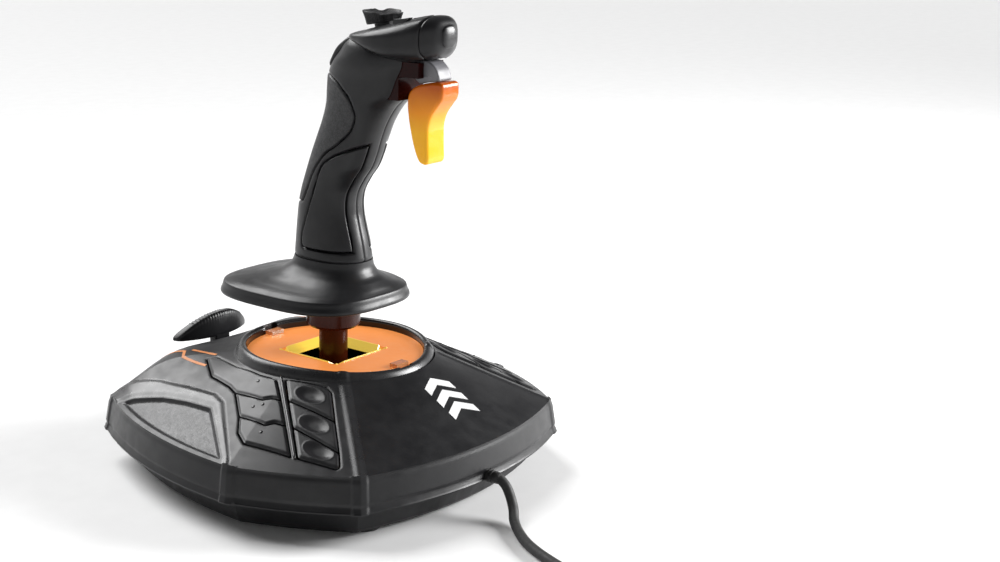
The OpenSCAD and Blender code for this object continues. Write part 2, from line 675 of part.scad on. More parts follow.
// A tube swept along points, with each ring square to the way there.
function way(points, k) =
    let (d = points[min(k + 1, len(points) - 1)] - points[max(k - 1, 0)]) d / norm(d);
function tube_ring(points, k, r, count) =
    let (t = way(points, k), side = cross(t, [0, 0, 1]), a = side / norm(side), b = cross(a, t))
    [for (j = [0:count - 1]) points[k] + r * (a * cos(360 * j / count) + b * sin(360 * j / count))];
module tube(points, r) {
    stack_solid([for (k = [0:len(points) - 1]) tube_ring(points, k, r, 10)]);
}
module cord_run() { color([0.05, 0.05, 0.05]) tube(cord_points, cord_d / 2); }
module cord_tail() { color([0.05, 0.05, 0.05]) tube(tail_points, cord_d / 2); }
module cord_coil() {
    color([0.05, 0.05, 0.05]) translate(coil_place) rotate_extrude()
        translate([coil_mid_r, coil_half.y]) intersection() {
            square([2 * coil_half.x, 2 * coil_half.y], center = true);
            square([3.1 * coil_half.x, 3.1 * coil_half.y - 4], center = true);
        }
}
module usb_plug() {
    color([0.08, 0.08, 0.08]) translate(plug_place) {
        rotate([90, 0, 0]) cylinder(r1 = 2.6, r2 = 3.6, h = 12);
        translate([-8, -38, -4.1]) cube([16, 27, 8.2]);
    }
    color([0.8, 0.8, 0.82]) translate(plug_place) difference() {
        translate([-6, -57, -2.25]) cube([12, 19.5, 4.5]);
        translate([-5.6, -58, 0]) cube([11.2, 12, 1.85]);
    }
}

base_top_cover();
base_bottom_cover();
glow_plate();
hole_bezel();
lens_tabs();
gimbal_housing();
main_circuit_board();
sensor_board();
button_boards();
button_switches();
slider_potentiometer();
ballast_plate();
rubber_feet();
bottom_screws();
cable_gland();
front_emblem();
side_stripes();
right_rear_button_1();
right_rear_button_2();
right_rear_button_3();
right_front_button_1();
right_front_button_2();
right_front_button_3();
left_rear_button_1();
left_rear_button_2();
left_rear_button_3();
left_front_button_1();
left_front_button_2();
left_front_button_3();
throttle_lever();
gimbal_ring();
roll_springs();
gimbal_hub();
pitch_springs();
twist_sensor();
sensor_magnet();
stick_shaft();
retaining_ring();
shaft_collar();
hand_rest();
grip_left_shell();
grip_right_shell();
palm_pad();
right_side_rest();
left_side_rest();
head_shell();
head_nose();
head_left_button();
head_right_button();
head_rear_button();
head_circuit_board();
hat_rocker();
hat_cap();
trigger_housing();
trigger_blade();
trigger_arm();
cord_run();
cord_coil();
cord_tail();
usb_plug();
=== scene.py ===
"""Looks for the flight joystick: camera, cord, studio, visual pieces and their materials.

All shapes are in millimetres until a mesh is made from them.
"""
import math

import bmesh
import bpy
import numpy as np
from mathutils import Matrix, Vector


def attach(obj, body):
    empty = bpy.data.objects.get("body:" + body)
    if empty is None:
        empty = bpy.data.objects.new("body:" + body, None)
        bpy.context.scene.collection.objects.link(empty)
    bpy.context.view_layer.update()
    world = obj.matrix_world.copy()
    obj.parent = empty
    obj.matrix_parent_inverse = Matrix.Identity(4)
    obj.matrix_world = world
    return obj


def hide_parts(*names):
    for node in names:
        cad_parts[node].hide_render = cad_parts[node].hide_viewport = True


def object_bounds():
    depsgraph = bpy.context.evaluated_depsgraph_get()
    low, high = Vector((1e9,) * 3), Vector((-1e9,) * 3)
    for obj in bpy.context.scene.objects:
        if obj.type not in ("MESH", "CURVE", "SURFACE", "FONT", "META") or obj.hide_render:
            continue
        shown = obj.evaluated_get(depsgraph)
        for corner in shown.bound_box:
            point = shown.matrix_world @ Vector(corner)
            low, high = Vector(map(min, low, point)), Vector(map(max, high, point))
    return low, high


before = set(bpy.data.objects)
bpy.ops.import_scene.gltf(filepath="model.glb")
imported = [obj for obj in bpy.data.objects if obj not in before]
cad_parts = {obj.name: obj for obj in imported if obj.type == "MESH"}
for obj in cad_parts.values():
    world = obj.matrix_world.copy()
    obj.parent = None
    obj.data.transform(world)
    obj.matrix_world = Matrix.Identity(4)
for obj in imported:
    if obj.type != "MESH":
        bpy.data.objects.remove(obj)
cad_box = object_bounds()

MM = 0.001
ROD_SIDES = 48
SCENE = bpy.context.scene


def plain(box):
    return [[float(v) for v in corner] for corner in box]


cad_box = plain(cad_box)


# ---------------------------------------------------------------- camera
def add_camera():
    right = Vector((-0.6738, 0.7389, 0.0))
    up = Vector((-0.1855, -0.1692, 0.9680))
    back = Vector((0.7153, 0.6522, 0.2511))
    data = bpy.data.cameras.new("camera")
    data.sensor_width = 36
    data.lens = 60.44
    data.shift_x = 0.185
    data.clip_start = 0.01
    camera = bpy.data.objects.new("camera", data)
    matrix = Matrix((right, up, back)).transposed().to_4x4()
    matrix.translation = Vector((0.56995, 0.50789, 0.28694))
    camera.matrix_world = matrix
    SCENE.collection.objects.link(camera)
    SCENE.camera = camera
    return right, up, back


VIEW_RIGHT, VIEW_UP, VIEW_BACK = add_camera()


# ---------------------------------------------------------------- small maths
def smooth(value, low, high):
    t = np.clip((value - low) / (high - low), 0.0, 1.0)
    return t * t * (3 - 2 * t)


def folded(p):
    """Plan points with the left-hand side laid over the right-hand side."""
    return np.stack([np.abs(p[..., 0]), p[..., 1]], -1)


def turning(count):
    return np.linspace(0, 2 * math.pi, count, endpoint=False)


def smooth_rows(rows, count):
    """A cubic through rows of numbers, sampled evenly along its length."""
    r = np.asarray(rows, float)
    steps = np.linalg.norm(np.diff(r, axis=0), axis=1)
    t = np.concatenate([[0.0], np.cumsum(steps)])
    slope = np.gradient(r, t, axis=0)
    s = np.linspace(0.0, t[-1], count)
    k = np.clip(np.searchsorted(t, s, side="right") - 1, 0, len(t) - 2)
    h = (t[k + 1] - t[k])[:, None]
    x = (s - t[k])[:, None] / h
    return ((2 * x**3 - 3 * x**2 + 1) * r[k] + (x**3 - 2 * x**2 + x) * h * slope[k]
            + (-2 * x**3 + 3 * x**2) * r[k + 1] + (x**3 - x**2) * h * slope[k + 1])


def line_distance(p, points):
    """Distance in the plane from points p to a polyline."""
    best = np.full(p.shape[:-1], 1e9)
    for a, b in zip(points[:-1], points[1:]):
        a = np.asarray(a, float)
        d = np.asarray(b, float) - a
        t = np.clip(((p - a) @ d) / (d @ d), 0.0, 1.0)
        best = np.minimum(best, np.linalg.norm(p - a - t[..., None] * d, axis=-1))
    return best


def depth_inside(p, polygon):
    """How deep points p lie inside a polygon; negative outside."""
    pts = [np.asarray(q, float) for q in polygon]
    inside = np.zeros(p.shape[:-1], bool)
    for a, b in zip(pts, pts[1:] + pts[:1]):
        crosses = (a[1] > p[..., 1]) != (b[1] > p[..., 1])
        rise = b[1] - a[1] if b[1] != a[1] else 1e-9
        at = a[0] + (p[..., 1] - a[1]) / rise * (b[0] - a[0])
        inside ^= crosses & (p[..., 0] < at)
    d = line_distance(p, pts + pts[:1])
    return np.where(inside, d, -d)


def inset(polygon, gap):
    """Move every side of a polygon inwards by gap."""
    pts = np.asarray(polygon, float)
    area = sum(a[0] * b[1] - a[1] * b[0] for a, b in zip(pts, np.roll(pts, -1, 0)))
    turn = 1.0 if area > 0 else -1.0
    out = []
    for a, b, c in zip(np.roll(pts, 1, 0), pts, np.roll(pts, -1, 0)):
        u = (b - a) / np.linalg.norm(b - a)
        v = (c - b) / np.linalg.norm(c - b)
        nu = turn * np.array([-u[1], u[0]])
        nv = turn * np.array([-v[1], v[0]])
        out.append(b + (nu + nv) * gap / (1 + nu @ nv))
    return np.array(out)


def rounded(polygon, radius, steps=4):
    """Replace each corner of a polygon with a short curve."""
    pts = np.asarray(polygon, float)
    out = []
    for a, b, c in zip(np.roll(pts, 1, 0), pts, np.roll(pts, -1, 0)):
        back = a - b
        ahead = c - b
        p = b + back * min(0.45, radius / np.linalg.norm(back))
        q = b + ahead * min(0.45, radius / np.linalg.norm(ahead))
        for t in np.linspace(0, 1, steps + 1):
            out.append((1 - t)**2 * p + 2 * t * (1 - t) * b + t * t * q)
    return np.array(out)


# ---------------------------------------------------------------- meshes
def grid_faces(rows, cols, wrap_rows=False, wrap_cols=False):
    i = np.arange(rows if wrap_rows else rows - 1)[:, None]
    j = np.arange(cols if wrap_cols else cols - 1)[None, :]
    i2 = (i + 1) % rows
    j2 = (j + 1) % cols
    quads = [i * cols + j, i * cols + j2, i2 * cols + j2, i2 * cols + j]
    return np.stack(quads, -1).reshape(-1, 4)


def new_piece(name, verts, faces, body, looks, sharp=40, face_looks=None):
    mesh = bpy.data.meshes.new(name)
    mesh.from_pydata((np.asarray(verts, float).reshape(-1, 3) * MM).tolist(), [],
                     [list(map(int, f)) for f in faces])
    for look in looks:
        mesh.materials.append(look)
    if face_looks is not None:
        mesh.polygons.foreach_set("material_index", face_looks.astype(np.int32))
    bm = bmesh.new()
    bm.from_mesh(mesh)
    bmesh.ops.recalc_face_normals(bm, faces=bm.faces)
    bm.to_mesh(mesh)
    bm.free()
    piece = bpy.data.objects.new(name, mesh)
    SCENE.collection.objects.link(piece)
    shade(piece, sharp)
    if body:
        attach(piece, body)
    return piece


def shade(piece, sharp):
    piece.data.shade_smooth()
    piece.data.set_sharp_from_angle(angle=math.radians(sharp))


def stack(name, rings, body, looks, sharp=40):
    """Rings of points joined one to the next, with a flat face at each end."""
    rings = np.asarray(rings, float)
    rows, cols = rings.shape[:2]
    faces = grid_faces(rows, cols, False, True).tolist()
    faces += [list(range(cols))[::-1], [(rows - 1) * cols + k for k in range(cols)]]
    return new_piece(name, rings, faces, body, looks, sharp)


def loop(name, rings, body, looks, sharp=40, face_looks=None):
    """Rings of points joined one to the next, and the last to the first."""
    rings = np.asarray(rings, float)
    faces = grid_faces(rings.shape[0], rings.shape[1], True, True)
    return new_piece(name, rings, faces, body, looks, sharp, face_looks)


def apply_modifiers(piece):
    bpy.context.view_layer.update()
    ready = piece.evaluated_get(bpy.context.evaluated_depsgraph_get())
    mesh = bpy.data.meshes.new_from_object(ready)
    piece.modifiers.clear()
    piece.data = mesh


def combine(piece, tools, operation, sharp=40):
    """Cut tools out of a piece, or keep only what is inside them."""
    for tool in tools:
        modifier = piece.modifiers.new("combine", "BOOLEAN")
        modifier.operation = operation
        modifier.solver = "MANIFOLD"
        modifier.object = tool
    apply_modifiers(piece)
    for tool in tools:
        bpy.data.objects.remove(tool)
    shade(piece, sharp)


def prism(outline, low, high):
    """A cutting tool: a plan outline carried upwards."""
    rings = [[(p[0], p[1], level) for p in outline] for level in (low, high)]
    return stack("tool", rings, None, [])


def box_tool(low, high):
    corners = [(low[0], low[1]), (high[0], low[1]), (high[0], high[1]), (low[0], high[1])]
    return prism(corners, low[2], high[2])


def rod_tool(start, axis, length, radius):
    """A cutting tool: a round bar from a point along an axis."""
    turn = Vector(axis).normalized().to_track_quat("Z", "Y").to_matrix()
    rings = []
    for level in (0.0, length):
        ring = []
        for k in range(ROD_SIDES):
            a = 2 * math.pi * k / ROD_SIDES
            p = turn @ Vector((radius * math.cos(a), radius * math.sin(a), level))
            ring.append(tuple(Vector(start) + p))
        rings.append(ring)
    return stack("tool", rings, None, [])


def mirrored(name, piece, body):
    mesh = piece.data.copy()
    mesh.transform(Matrix.Scale(-1, 4, (1, 0, 0)))
    mesh.flip_normals()
    twin = bpy.data.objects.new(name, mesh)
    SCENE.collection.objects.link(twin)
    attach(twin, body)
    return twin


# ---------------------------------------------------------------- materials
def principled(name):
    material = bpy.data.materials.new(name)
    material.use_nodes = True
    tree = material.node_tree
    shader = tree.nodes["Principled BSDF"]
    place = tree.nodes.new("ShaderNodeTexCoord").outputs["Object"]
    return material, tree, shader, place


def noise(tree, place, scale, detail=3.0):
    node = tree.nodes.new("ShaderNodeTexNoise")
    node.inputs["Scale"].default_value = scale
    node.inputs["Detail"].default_value = detail
    tree.links.new(place, node.inputs["Vector"])
    return node.outputs["Fac"]


def ramp(tree, factor, stops):
    node = tree.nodes.new("ShaderNodeValToRGB")
    elements = node.color_ramp.elements
    while len(elements) < len(stops):
        elements.new(0.5)
    for element, (at, colour) in zip(elements, stops):
        element.position = at
        element.color = (*colour, 1.0)
    tree.links.new(factor, node.inputs["Fac"])
    return node.outputs["Color"]


def spread(tree, factor, low, high):
    node = tree.nodes.new("ShaderNodeMapRange")
    node.inputs["From Min"].default_value = 0.3
    node.inputs["From Max"].default_value = 0.7
    node.inputs["To Min"].default_value = low
    node.inputs["To Max"].default_value = high
    tree.links.new(factor, node.inputs["Value"])
    return node.outputs["Result"]


def bump(tree, shader, height, strength, distance):
    node = tree.nodes.new("ShaderNodeBump")
    node.inputs["Strength"].default_value = strength
    node.inputs["Distance"].default_value = distance
    tree.links.new(height, node.inputs["Height"])
    tree.links.new(node.outputs["Normal"], shader.inputs["Normal"])


def surface(tree, shader, place, rough, patches, grain, detail, strength, relief):
    """Uneven roughness and a fine relief."""
    uneven = spread(tree, noise(tree, place, patches), *rough)
    tree.links.new(uneven, shader.inputs["Roughness"])
    bump(tree, shader, noise(tree, place, grain, detail), strength, relief)


def plastic(name, dark, light, rough, grain=0.0006, relief=0.00003, strength=0.5, coat=0.0,
            specular=0.28):
    """Moulded plastic: mottled colour, uneven roughness and a fine grain."""
    material, tree, shader, place = principled(name)
    colour = ramp(tree, noise(tree, place, 60.0, 5.0), [(0.35, dark), (0.65, light)])
    tree.links.new(colour, shader.inputs["Base Color"])
    surface(tree, shader, place, rough, 160.0, 1 / grain, 2.0, strength, relief)
    shader.inputs["Coat Weight"].default_value = coat
    shader.inputs["Coat Roughness"].default_value = 0.12
    shader.inputs["Specular IOR Level"].default_value = specular
    return material


def grained(name, dark, light, rough, cell, relief):
    """Leather-like grain of small cells."""
    material, tree, shader, place = principled(name)
    cells = tree.nodes.new("ShaderNodeTexVoronoi")
    cells.feature = "SMOOTH_F1"
    cells.inputs["Scale"].default_value = 1 / cell
    tree.links.new(place, cells.inputs["Vector"])
    colour = ramp(tree, cells.outputs["Distance"], [(0.1, light), (0.6, dark)])
    tree.links.new(colour, shader.inputs["Base Color"])
    tree.links.new(spread(tree, noise(tree, place, 400.0), *rough), shader.inputs["Roughness"])
    bump(tree, shader, cells.outputs["Distance"], 0.9, relief)
    return material


def glowing(name, dark, light, glow, strength, rough, transmission=0.0, coat=0.0, ior=1.46):
    """Translucent plastic with a painted glow: an emission, a little uneven, standing in for light
    through the plastic.
    """
    material, tree, shader, place = principled(name)
    uneven = noise(tree, place, 25.0, 2.0)
    tree.links.new(ramp(tree, uneven, [(0.3, dark), (0.7, light)]), shader.inputs["Base Color"])
    shine = ramp(tree, uneven, [(0.3, [0.94 * c for c in glow]), (0.7, glow)])
    # The emission colour and strength paint the glow; no lamp is inside these parts.
    tree.links.new(shine, shader.inputs["Emission Color"])
    shader.inputs["Emission Strength"].default_value = strength
    surface(tree, shader, place, rough, 300.0, 1500.0, 2.0, 0.25, 0.00002)
    shader.inputs["Transmission Weight"].default_value = transmission
    shader.inputs["Coat Weight"].default_value = coat
    shader.inputs["IOR"].default_value = ior
    return material


def metal(name, colour, rough):
    material, tree, shader, place = principled(name)
    shine = ramp(tree, noise(tree, place, 90.0), [(0.3, [0.85 * c for c in colour]), (0.7, colour)])
    tree.links.new(shine, shader.inputs["Base Color"])
    surface(tree, shader, place, rough, 500.0, 2500.0, 2.0, 0.3, 0.00002)
    shader.inputs["Metallic"].default_value = 1.0
    return material


def painted_glow_trigger(name):
    """Orange-yellow translucent plastic, deeper orange towards its top, with a faint painted glow.
    """
    material, tree, shader, place = principled(name)
    split = tree.nodes.new("ShaderNodeSeparateXYZ")
    tree.links.new(place, split.inputs["Vector"])
    height = tree.nodes.new("ShaderNodeMapRange")
    height.inputs["From Min"].default_value = 0.165
    height.inputs["From Max"].default_value = 0.188
    tree.links.new(split.outputs["Z"], height.inputs["Value"])
    wobble = tree.nodes.new("ShaderNodeMath")
    wobble.operation = "MULTIPLY_ADD"
    wobble.inputs[1].default_value = 0.12
    tree.links.new(noise(tree, place, 120.0), wobble.inputs[0])
    tree.links.new(height.outputs["Result"], wobble.inputs[2])
    colour = ramp(tree, wobble.outputs["Value"],
                  [(0.0, (0.8, 0.4, 0.012)), (0.5, (0.72, 0.24, 0.008)), (1.0, (0.38, 0.07, 0.003))])
    tree.links.new(colour, shader.inputs["Base Color"])
    # The same colour feeds the emission: a painted glow standing in for light through the blade.
    tree.links.new(colour, shader.inputs["Emission Color"])
    shader.inputs["Emission Strength"].default_value = 0.12
    surface(tree, shader, place, (0.16, 0.26), 300.0, 1500.0, 3.0, 0.25, 0.00002)
    shader.inputs["Specular IOR Level"].default_value = 0.25
    return material


BLACK = plastic("black_satin", (0.008, 0.008, 0.009), (0.013, 0.013, 0.014), (0.3, 0.42))
# The band look is a lighter copy of black satin for the raised bands, the rib and the collar's outer
# face. Its lighter colour is a painted highlight; its lower roughness and higher specular level make
# it shinier.
BAND = plastic("black_bevel_painted_highlight", (0.012, 0.012, 0.013), (0.019, 0.019, 0.02), (0.24, 0.34),
               specular=0.4)
GRIP = plastic("grip_satin", (0.007, 0.007, 0.008), (0.012, 0.012, 0.013), (0.28, 0.4))
BUTTON = plastic("button_satin", (0.009, 0.009, 0.01), (0.014, 0.014, 0.015), (0.28, 0.38))
GLOSS = plastic("black_gloss", (0.006, 0.006, 0.007), (0.01, 0.01, 0.011), (0.08, 0.14),
                grain=0.001, relief=0.00001, strength=0.3, coat=0.15)
LOWER = plastic("lower_satin", (0.007, 0.007, 0.008), (0.011, 0.011, 0.012), (0.4, 0.55))
GREY = plastic("grey_plastic", (0.12, 0.12, 0.13), (0.18, 0.18, 0.19), (0.32, 0.45))
RECESS = grained("recess_grain", (0.01, 0.01, 0.011), (0.03, 0.03, 0.032), (0.4, 0.5),
                 0.0009, 0.00014)
PAD = grained("pad_grain", (0.008, 0.008, 0.009), (0.022, 0.022, 0.024), (0.5, 0.65),
              0.0007, 0.0001)
RUBBER = grained("rubber", (0.012, 0.012, 0.012), (0.022, 0.022, 0.022), (0.55, 0.7),
                 0.0008, 0.00004)
# The glow plate, bezel, amber shaft and clear lens looks carry a painted glow by emission.
GLOW = glowing("glow_orange", (0.55, 0.17, 0.04), (0.6, 0.2, 0.05), (1.0, 0.34, 0.08), 0.5,
               (0.3, 0.4))
BEZEL = glowing("bezel_yellow", (0.55, 0.32, 0.03), (0.62, 0.38, 0.04), (1.0, 0.72, 0.12), 0.6,
                (0.18, 0.26), coat=0.3)
AMBER = glowing("amber", (0.025, 0.004, 0.001), (0.045, 0.008, 0.002), (0.5, 0.08, 0.01), 0.012,
                (0.14, 0.22), ior=1.25)
CLEAR = glowing("clear_lens", (0.5, 0.28, 0.14), (0.6, 0.35, 0.18), (1.0, 0.5, 0.2), 0.05,
                (0.08, 0.14), transmission=0.6)
RED_GLOSS = plastic("housing_gloss", (0.012, 0.001, 0.001), (0.02, 0.002, 0.001), (0.12, 0.2),
                    grain=0.001, relief=0.00001, strength=0.3, specular=0.12)
TRIGGER = painted_glow_trigger("trigger_orange")
STEEL = metal("steel", (0.6, 0.6, 0.62), (0.25, 0.4))
BOARD = plastic("circuit_green", (0.01, 0.08, 0.03), (0.015, 0.12, 0.05), (0.3, 0.45))
MARK = plastic("mark_white", (0.62, 0.62, 0.62), (0.72, 0.72, 0.72), (0.4, 0.5))
ORANGE = plastic("stripe_orange", (0.66, 0.22, 0.06), (0.76, 0.28, 0.08), (0.38, 0.48))

# ---------------------------------------------------------------- cord
CORD_D = 4.5
RUN = [[0, 99, 15.9], [0.4, 102.5, 13.6], [1.6, 106, 9.6], [4.2, 109.6, 5.6],
       [8.4, 113, 3.2], [13, 117.6, 2.3], [18.6, 123.8, 2.25], [23.6, 130.4, 2.25],
       [27.6, 137.4, 2.25], [31, 145, 2.25], [34, 153, 2.25], [37.2, 162, 2.25],
       [40.8, 172, 2.25], [45, 183, 2.25], [49.8, 194, 2.25], [55, 204.6, 2.25]]
TAIL = [[122.2, 191, 14.2], [122.9, 182, 10.4], [123.6, 173, 6.4], [124, 164, 4.4],
        [124, 158, 4.2]]
COIL_CENTRE = (90.0, 202.0)
COIL_OUTER = 31.9
COIL_INNER = 19.0
COIL_LAYERS = 4
COIL_START = math.radians(150)
COIL_TURN = math.radians(4110) / COIL_LAYERS
COIL_STEPS = 220
PLUG = (124.0, 158.0, 4.2)
TIE_WIDE = 5.0
TIE_THICK = 0.7


def coil_points():
    """Layers of flat turns, wound inwards and outwards by turns."""
    out = []
    for layer in range(COIL_LAYERS):
        inwards = layer % 2 == 0
        for k in range(COIL_STEPS):
            t = k / COIL_STEPS
            way = t if inwards else 1 - t
            radius = COIL_OUTER + (COIL_INNER - COIL_OUTER) * way
            angle = COIL_START - COIL_TURN * (layer + t)
            rise = float(smooth(t, 1 - 0.6 * math.pi / COIL_TURN, 1.0))
            last = layer == COIL_LAYERS - 1
            height = CORD_D * (layer + 0.5 + (0.0 if last else rise))
            out.append([COIL_CENTRE[0] + radius * math.cos(angle),
                        COIL_CENTRE[1] + radius * math.sin(angle), height])
    return out


def make_cord():
    run = smooth_rows(np.array(RUN + coil_points()[:3]), 150)[:-4]
    end = smooth_rows(np.array(coil_points()[-2:] + TAIL), 40)[4:]
    points = np.concatenate([run, np.array(coil_points())[3:-2], end]) * MM
    curve = bpy.data.curves.new("usb_cord", "CURVE")
    curve.dimensions = "3D"
    curve.bevel_depth = CORD_D / 2 * MM
    curve.bevel_resolution = 3
    curve.use_fill_caps = True
    line = curve.splines.new("POLY")
    line.points.add(len(points) - 1)
    for point, place in zip(line.points, points):
        point.co = (*place, 1.0)
    line.use_smooth = True
    curve.materials.append(RUBBER)
    cord = bpy.data.objects.new("usb_cord", curve)
    SCENE.collection.objects.link(cord)
    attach(cord, "base")
    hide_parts("cord_run", "cord_coil", "cord_tail")
    length = float(np.linalg.norm(np.diff(points, axis=0), axis=1).sum())
    return cord, length


def revolve(name, profile, body, looks, place, turn):
    """A closed profile of radius and height, turned about its axis."""
    a = turning(48)
    rings = []
    for radius, height in profile:
        ring = np.stack([radius * np.cos(a), radius * np.sin(a), np.full(len(a), height)], -1)
        rings.append(ring @ np.asarray(turn).T + np.asarray(place, float))
    return stack(name, rings, body, looks)


def make_gland():
    """A ribbed strain relief that tapers towards its tip."""
    profile = [(4.3, 0), (4.6, 0.3), (4.6, 2.7), (4.3, 3.0), (3.15, 3.05)]
    for k in range(9):
        start = 3.6 + 1.6 * k
        radius = 3.1 - 0.02 * k
        profile += [(radius, start), (radius, start + 1.0), (radius - 0.35, start + 1.1),
                    (radius - 0.35, start + 1.5)]
    profile += [(2.75, 18.2), (2.6, 20.4), (2.3, 21)]
    turn = [[1, 0, 0], [0, 0, 1], [0, -1, 0]]
    gland = revolve("cable_strain_relief", profile, "base", [RUBBER],
                    (0, 78, 15.9), turn)
    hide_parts("cable_gland")
    return gland


def rounded_box(name, low, high, corner, body, looks):
    low, high = np.array(low, float), np.array(high, float)
    rings = []
    levels = [(0.0, 1.0), (0.35, 0.35), (1.0, 0.0)]
    heights = [(low[1] + corner * up, corner * in_) for up, in_ in levels]
    heights += [(high[1] - corner * up, corner * in_) for up, in_ in levels[::-1]]
    for y, shrink in heights:
        flat = [(low[0] + shrink, low[2] + shrink), (high[0] - shrink, low[2] + shrink),
                (high[0] - shrink, high[2] - shrink), (low[0] + shrink, high[2] - shrink)]
        rings.append([(p[0], y, p[1]) for p in rounded(flat, corner * 1.4)])
    return stack(name, rings, body, looks)


def make_plug():
    x, y, z = PLUG
    body = rounded_box("plug_body", (x - 8, y - 38, 0.1), (x + 8, y - 11, 8.3), 1.6, "base",
                       [RUBBER])
    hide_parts("usb_plug")
    profile = [(2.3, 0), (2.6, 0.4)]
    for k in range(5):
        start = 1.0 + 2.1 * k
        radius = 2.8 + 0.2 * k
        profile += [(radius, start), (radius + 0.1, start + 1.3), (radius - 0.3, start + 1.5),
                    (radius - 0.3, start + 1.9)]
    profile += [(3.9, 11.4), (3.9, 11.9)]
    neck = revolve("plug_neck", profile, "base", [RUBBER], (x, y, z),
                   [[1, 0, 0], [0, 0, -1], [0, 1, 0]])
    shell = rounded_box("plug_shell", (x - 6, y - 57, z - 2.25), (x + 6, y - 37.5, z + 2.25), 0.4,
                        "base", [STEEL])
    combine(shell, [box_tool((x - 5.6, y - 58, z), (x + 5.6, y - 45, z + 1.85))], "DIFFERENCE")
    return [body, neck, shell]


def make_tie():
    """A flat strap that holds the coil's turns together on its near side."""
    x, y = COIL_CENTRE
    low, high = (y - COIL_OUTER - 0.7, 0.75), (y - COIL_INNER + 0.7, 17.95)
    rings = []
    sides = [rounded([(low[0] - out, low[1] - out), (high[0] + out, low[1] - out),
                      (high[0] + out, high[1] + out), (low[0] - out, high[1] + out)], 3 + out)
             for out in (0.0, TIE_THICK)]
    for inner, outer in zip(*sides):
        rings.append([(x - TIE_WIDE / 2, *inner), (x + TIE_WIDE / 2, *inner),
                      (x + TIE_WIDE / 2, *outer), (x - TIE_WIDE / 2, *outer)])
    return loop("cable_tie", rings, "base", [RUBBER])


cord, cord_length = make_cord()
cord_pieces = [make_gland()] + make_plug() + [make_tie()]


# ---------------------------------------------------------------- studio
FLOOR_HALF = 4000.0


def add_studio():
    look = plastic("pale_floor", (0.8, 0.8, 0.8), (0.82, 0.82, 0.82), (0.55, 0.65))
    corners = [(x * FLOOR_HALF, y * FLOOR_HALF, 0) for x, y in ((-1, -1), (1, -1), (1, 1), (-1, 1))]
    floor = new_piece("floor", corners, [(0, 1, 2, 3)], None, [look])
    add_world()
    add_lights()
    SCENE.view_settings.view_transform = "Standard"


def add_world():
    """Pale towards the horizon and dark overhead."""
    world = bpy.data.worlds.new("studio")
    world.use_nodes = True
    nodes, links = world.node_tree.nodes, world.node_tree.links
    place = nodes.new("ShaderNodeTexCoord")
    axes = nodes.new("ShaderNodeSeparateXYZ")
    fade = nodes.new("ShaderNodeValToRGB")
    for stop, level in ((0.12, 0.9), (0.42, 0.09)):
        stop = fade.color_ramp.elements.new(stop)
        stop.color = (level, level, level, 1)
    fade.color_ramp.elements.remove(fade.color_ramp.elements[0])
    fade.color_ramp.elements.remove(fade.color_ramp.elements[-1])
    links.new(place.outputs["Generated"], axes.inputs["Vector"])
    links.new(axes.outputs["Z"], fade.inputs["Fac"])
    links.new(fade.outputs["Color"], nodes["Background"].inputs["Color"])
    SCENE.world = world


def add_lights():
    middle = Vector((0, 0, 0.1))
    toward_key = -VIEW_RIGHT * 0.55 + VIEW_UP * 0.8 - VIEW_BACK * 0.28
    toward_rim = VIEW_RIGHT * 1.0 + VIEW_UP * 0.35 - VIEW_BACK * 0.05
    key = bpy.data.lights.new("key", "SUN")
    key.angle = math.radians(45)
    key.energy = 4.2
    rim = bpy.data.lights.new("rim", "AREA")
    rim.size = 0.45
    rim.energy = 22
    for data, offset in ((key, toward_key), (rim, toward_rim)):
        light = bpy.data.objects.new(data.name, data)
        light.location = middle + offset
        light.rotation_euler = (-offset).to_track_quat("-Z", "Y").to_euler()
        SCENE.collection.objects.link(light)


add_studio()

# ---------------------------------------------------------------- base: surface
EDGE_Z = 30.4
ROOF_TOP_Z = 54.6
ROOF_TOP_R = 47.5
REAR_BULGE = 5.5
HUMP = np.array([42.0, -68.0])
HUMP_REACH = np.array([22.0, 18.0])
HUMP_RISE = 5.5
CENTRE = np.array([0.0, 1.0])
CORNERS = np.array([[69.6, 77.2], [-69.6, 77.2], [-97.4, 26.7], [-68.5, -82.4], [68.5, -82.4],
                    [97.4, 26.7]])
BULGES = [13.3, 2.4, 8, 8.1, 8, 2.4]


def base_outline(spacing):
    out = []
    for s in range(6):
        a = CORNERS[s]
        d = CORNERS[(s + 1) % 6] - a
        away = np.array([d[1], -d[0]]) / np.linalg.norm(d)
        count = int(np.linalg.norm(d) / spacing)
        t = (np.arange(count) / count)[:, None]
        out.append(a + d * t + away * BULGES[s] * 4 * t * (1 - t))
    return np.concatenate(out)


OUTLINE = base_outline(0.5)
ARMS = OUTLINE - CENTRE
FAR = np.linalg.norm(ARMS, axis=1)
TURN = np.arctan2(ARMS[:, 1], ARMS[:, 0])
ORDER = np.argsort(TURN)


def roof_height(p):
    """Height of the smooth roof over plan points p, and how far they are from its edge."""
    v = p - CENTRE
    r = np.linalg.norm(v, axis=-1)
    far = np.interp(np.arctan2(v[..., 1], v[..., 0]), TURN[ORDER], FAR[ORDER],
                    period=2 * math.pi)
    u = (far - r) / (far - ROOF_TOP_R)
    rear = np.maximum(0, -v[..., 1] / np.maximum(r, 1e-6))
    z = EDGE_Z + (ROOF_TOP_Z - EDGE_Z) * u + REAR_BULGE * rear**2 * 4 * u * (1 - u)
    off = np.linalg.norm((folded(p) - HUMP) / HUMP_REACH, axis=-1)
    z = z + HUMP_RISE * np.exp(-off**2) * smooth(u, 0, 0.15)
    return z, far - r


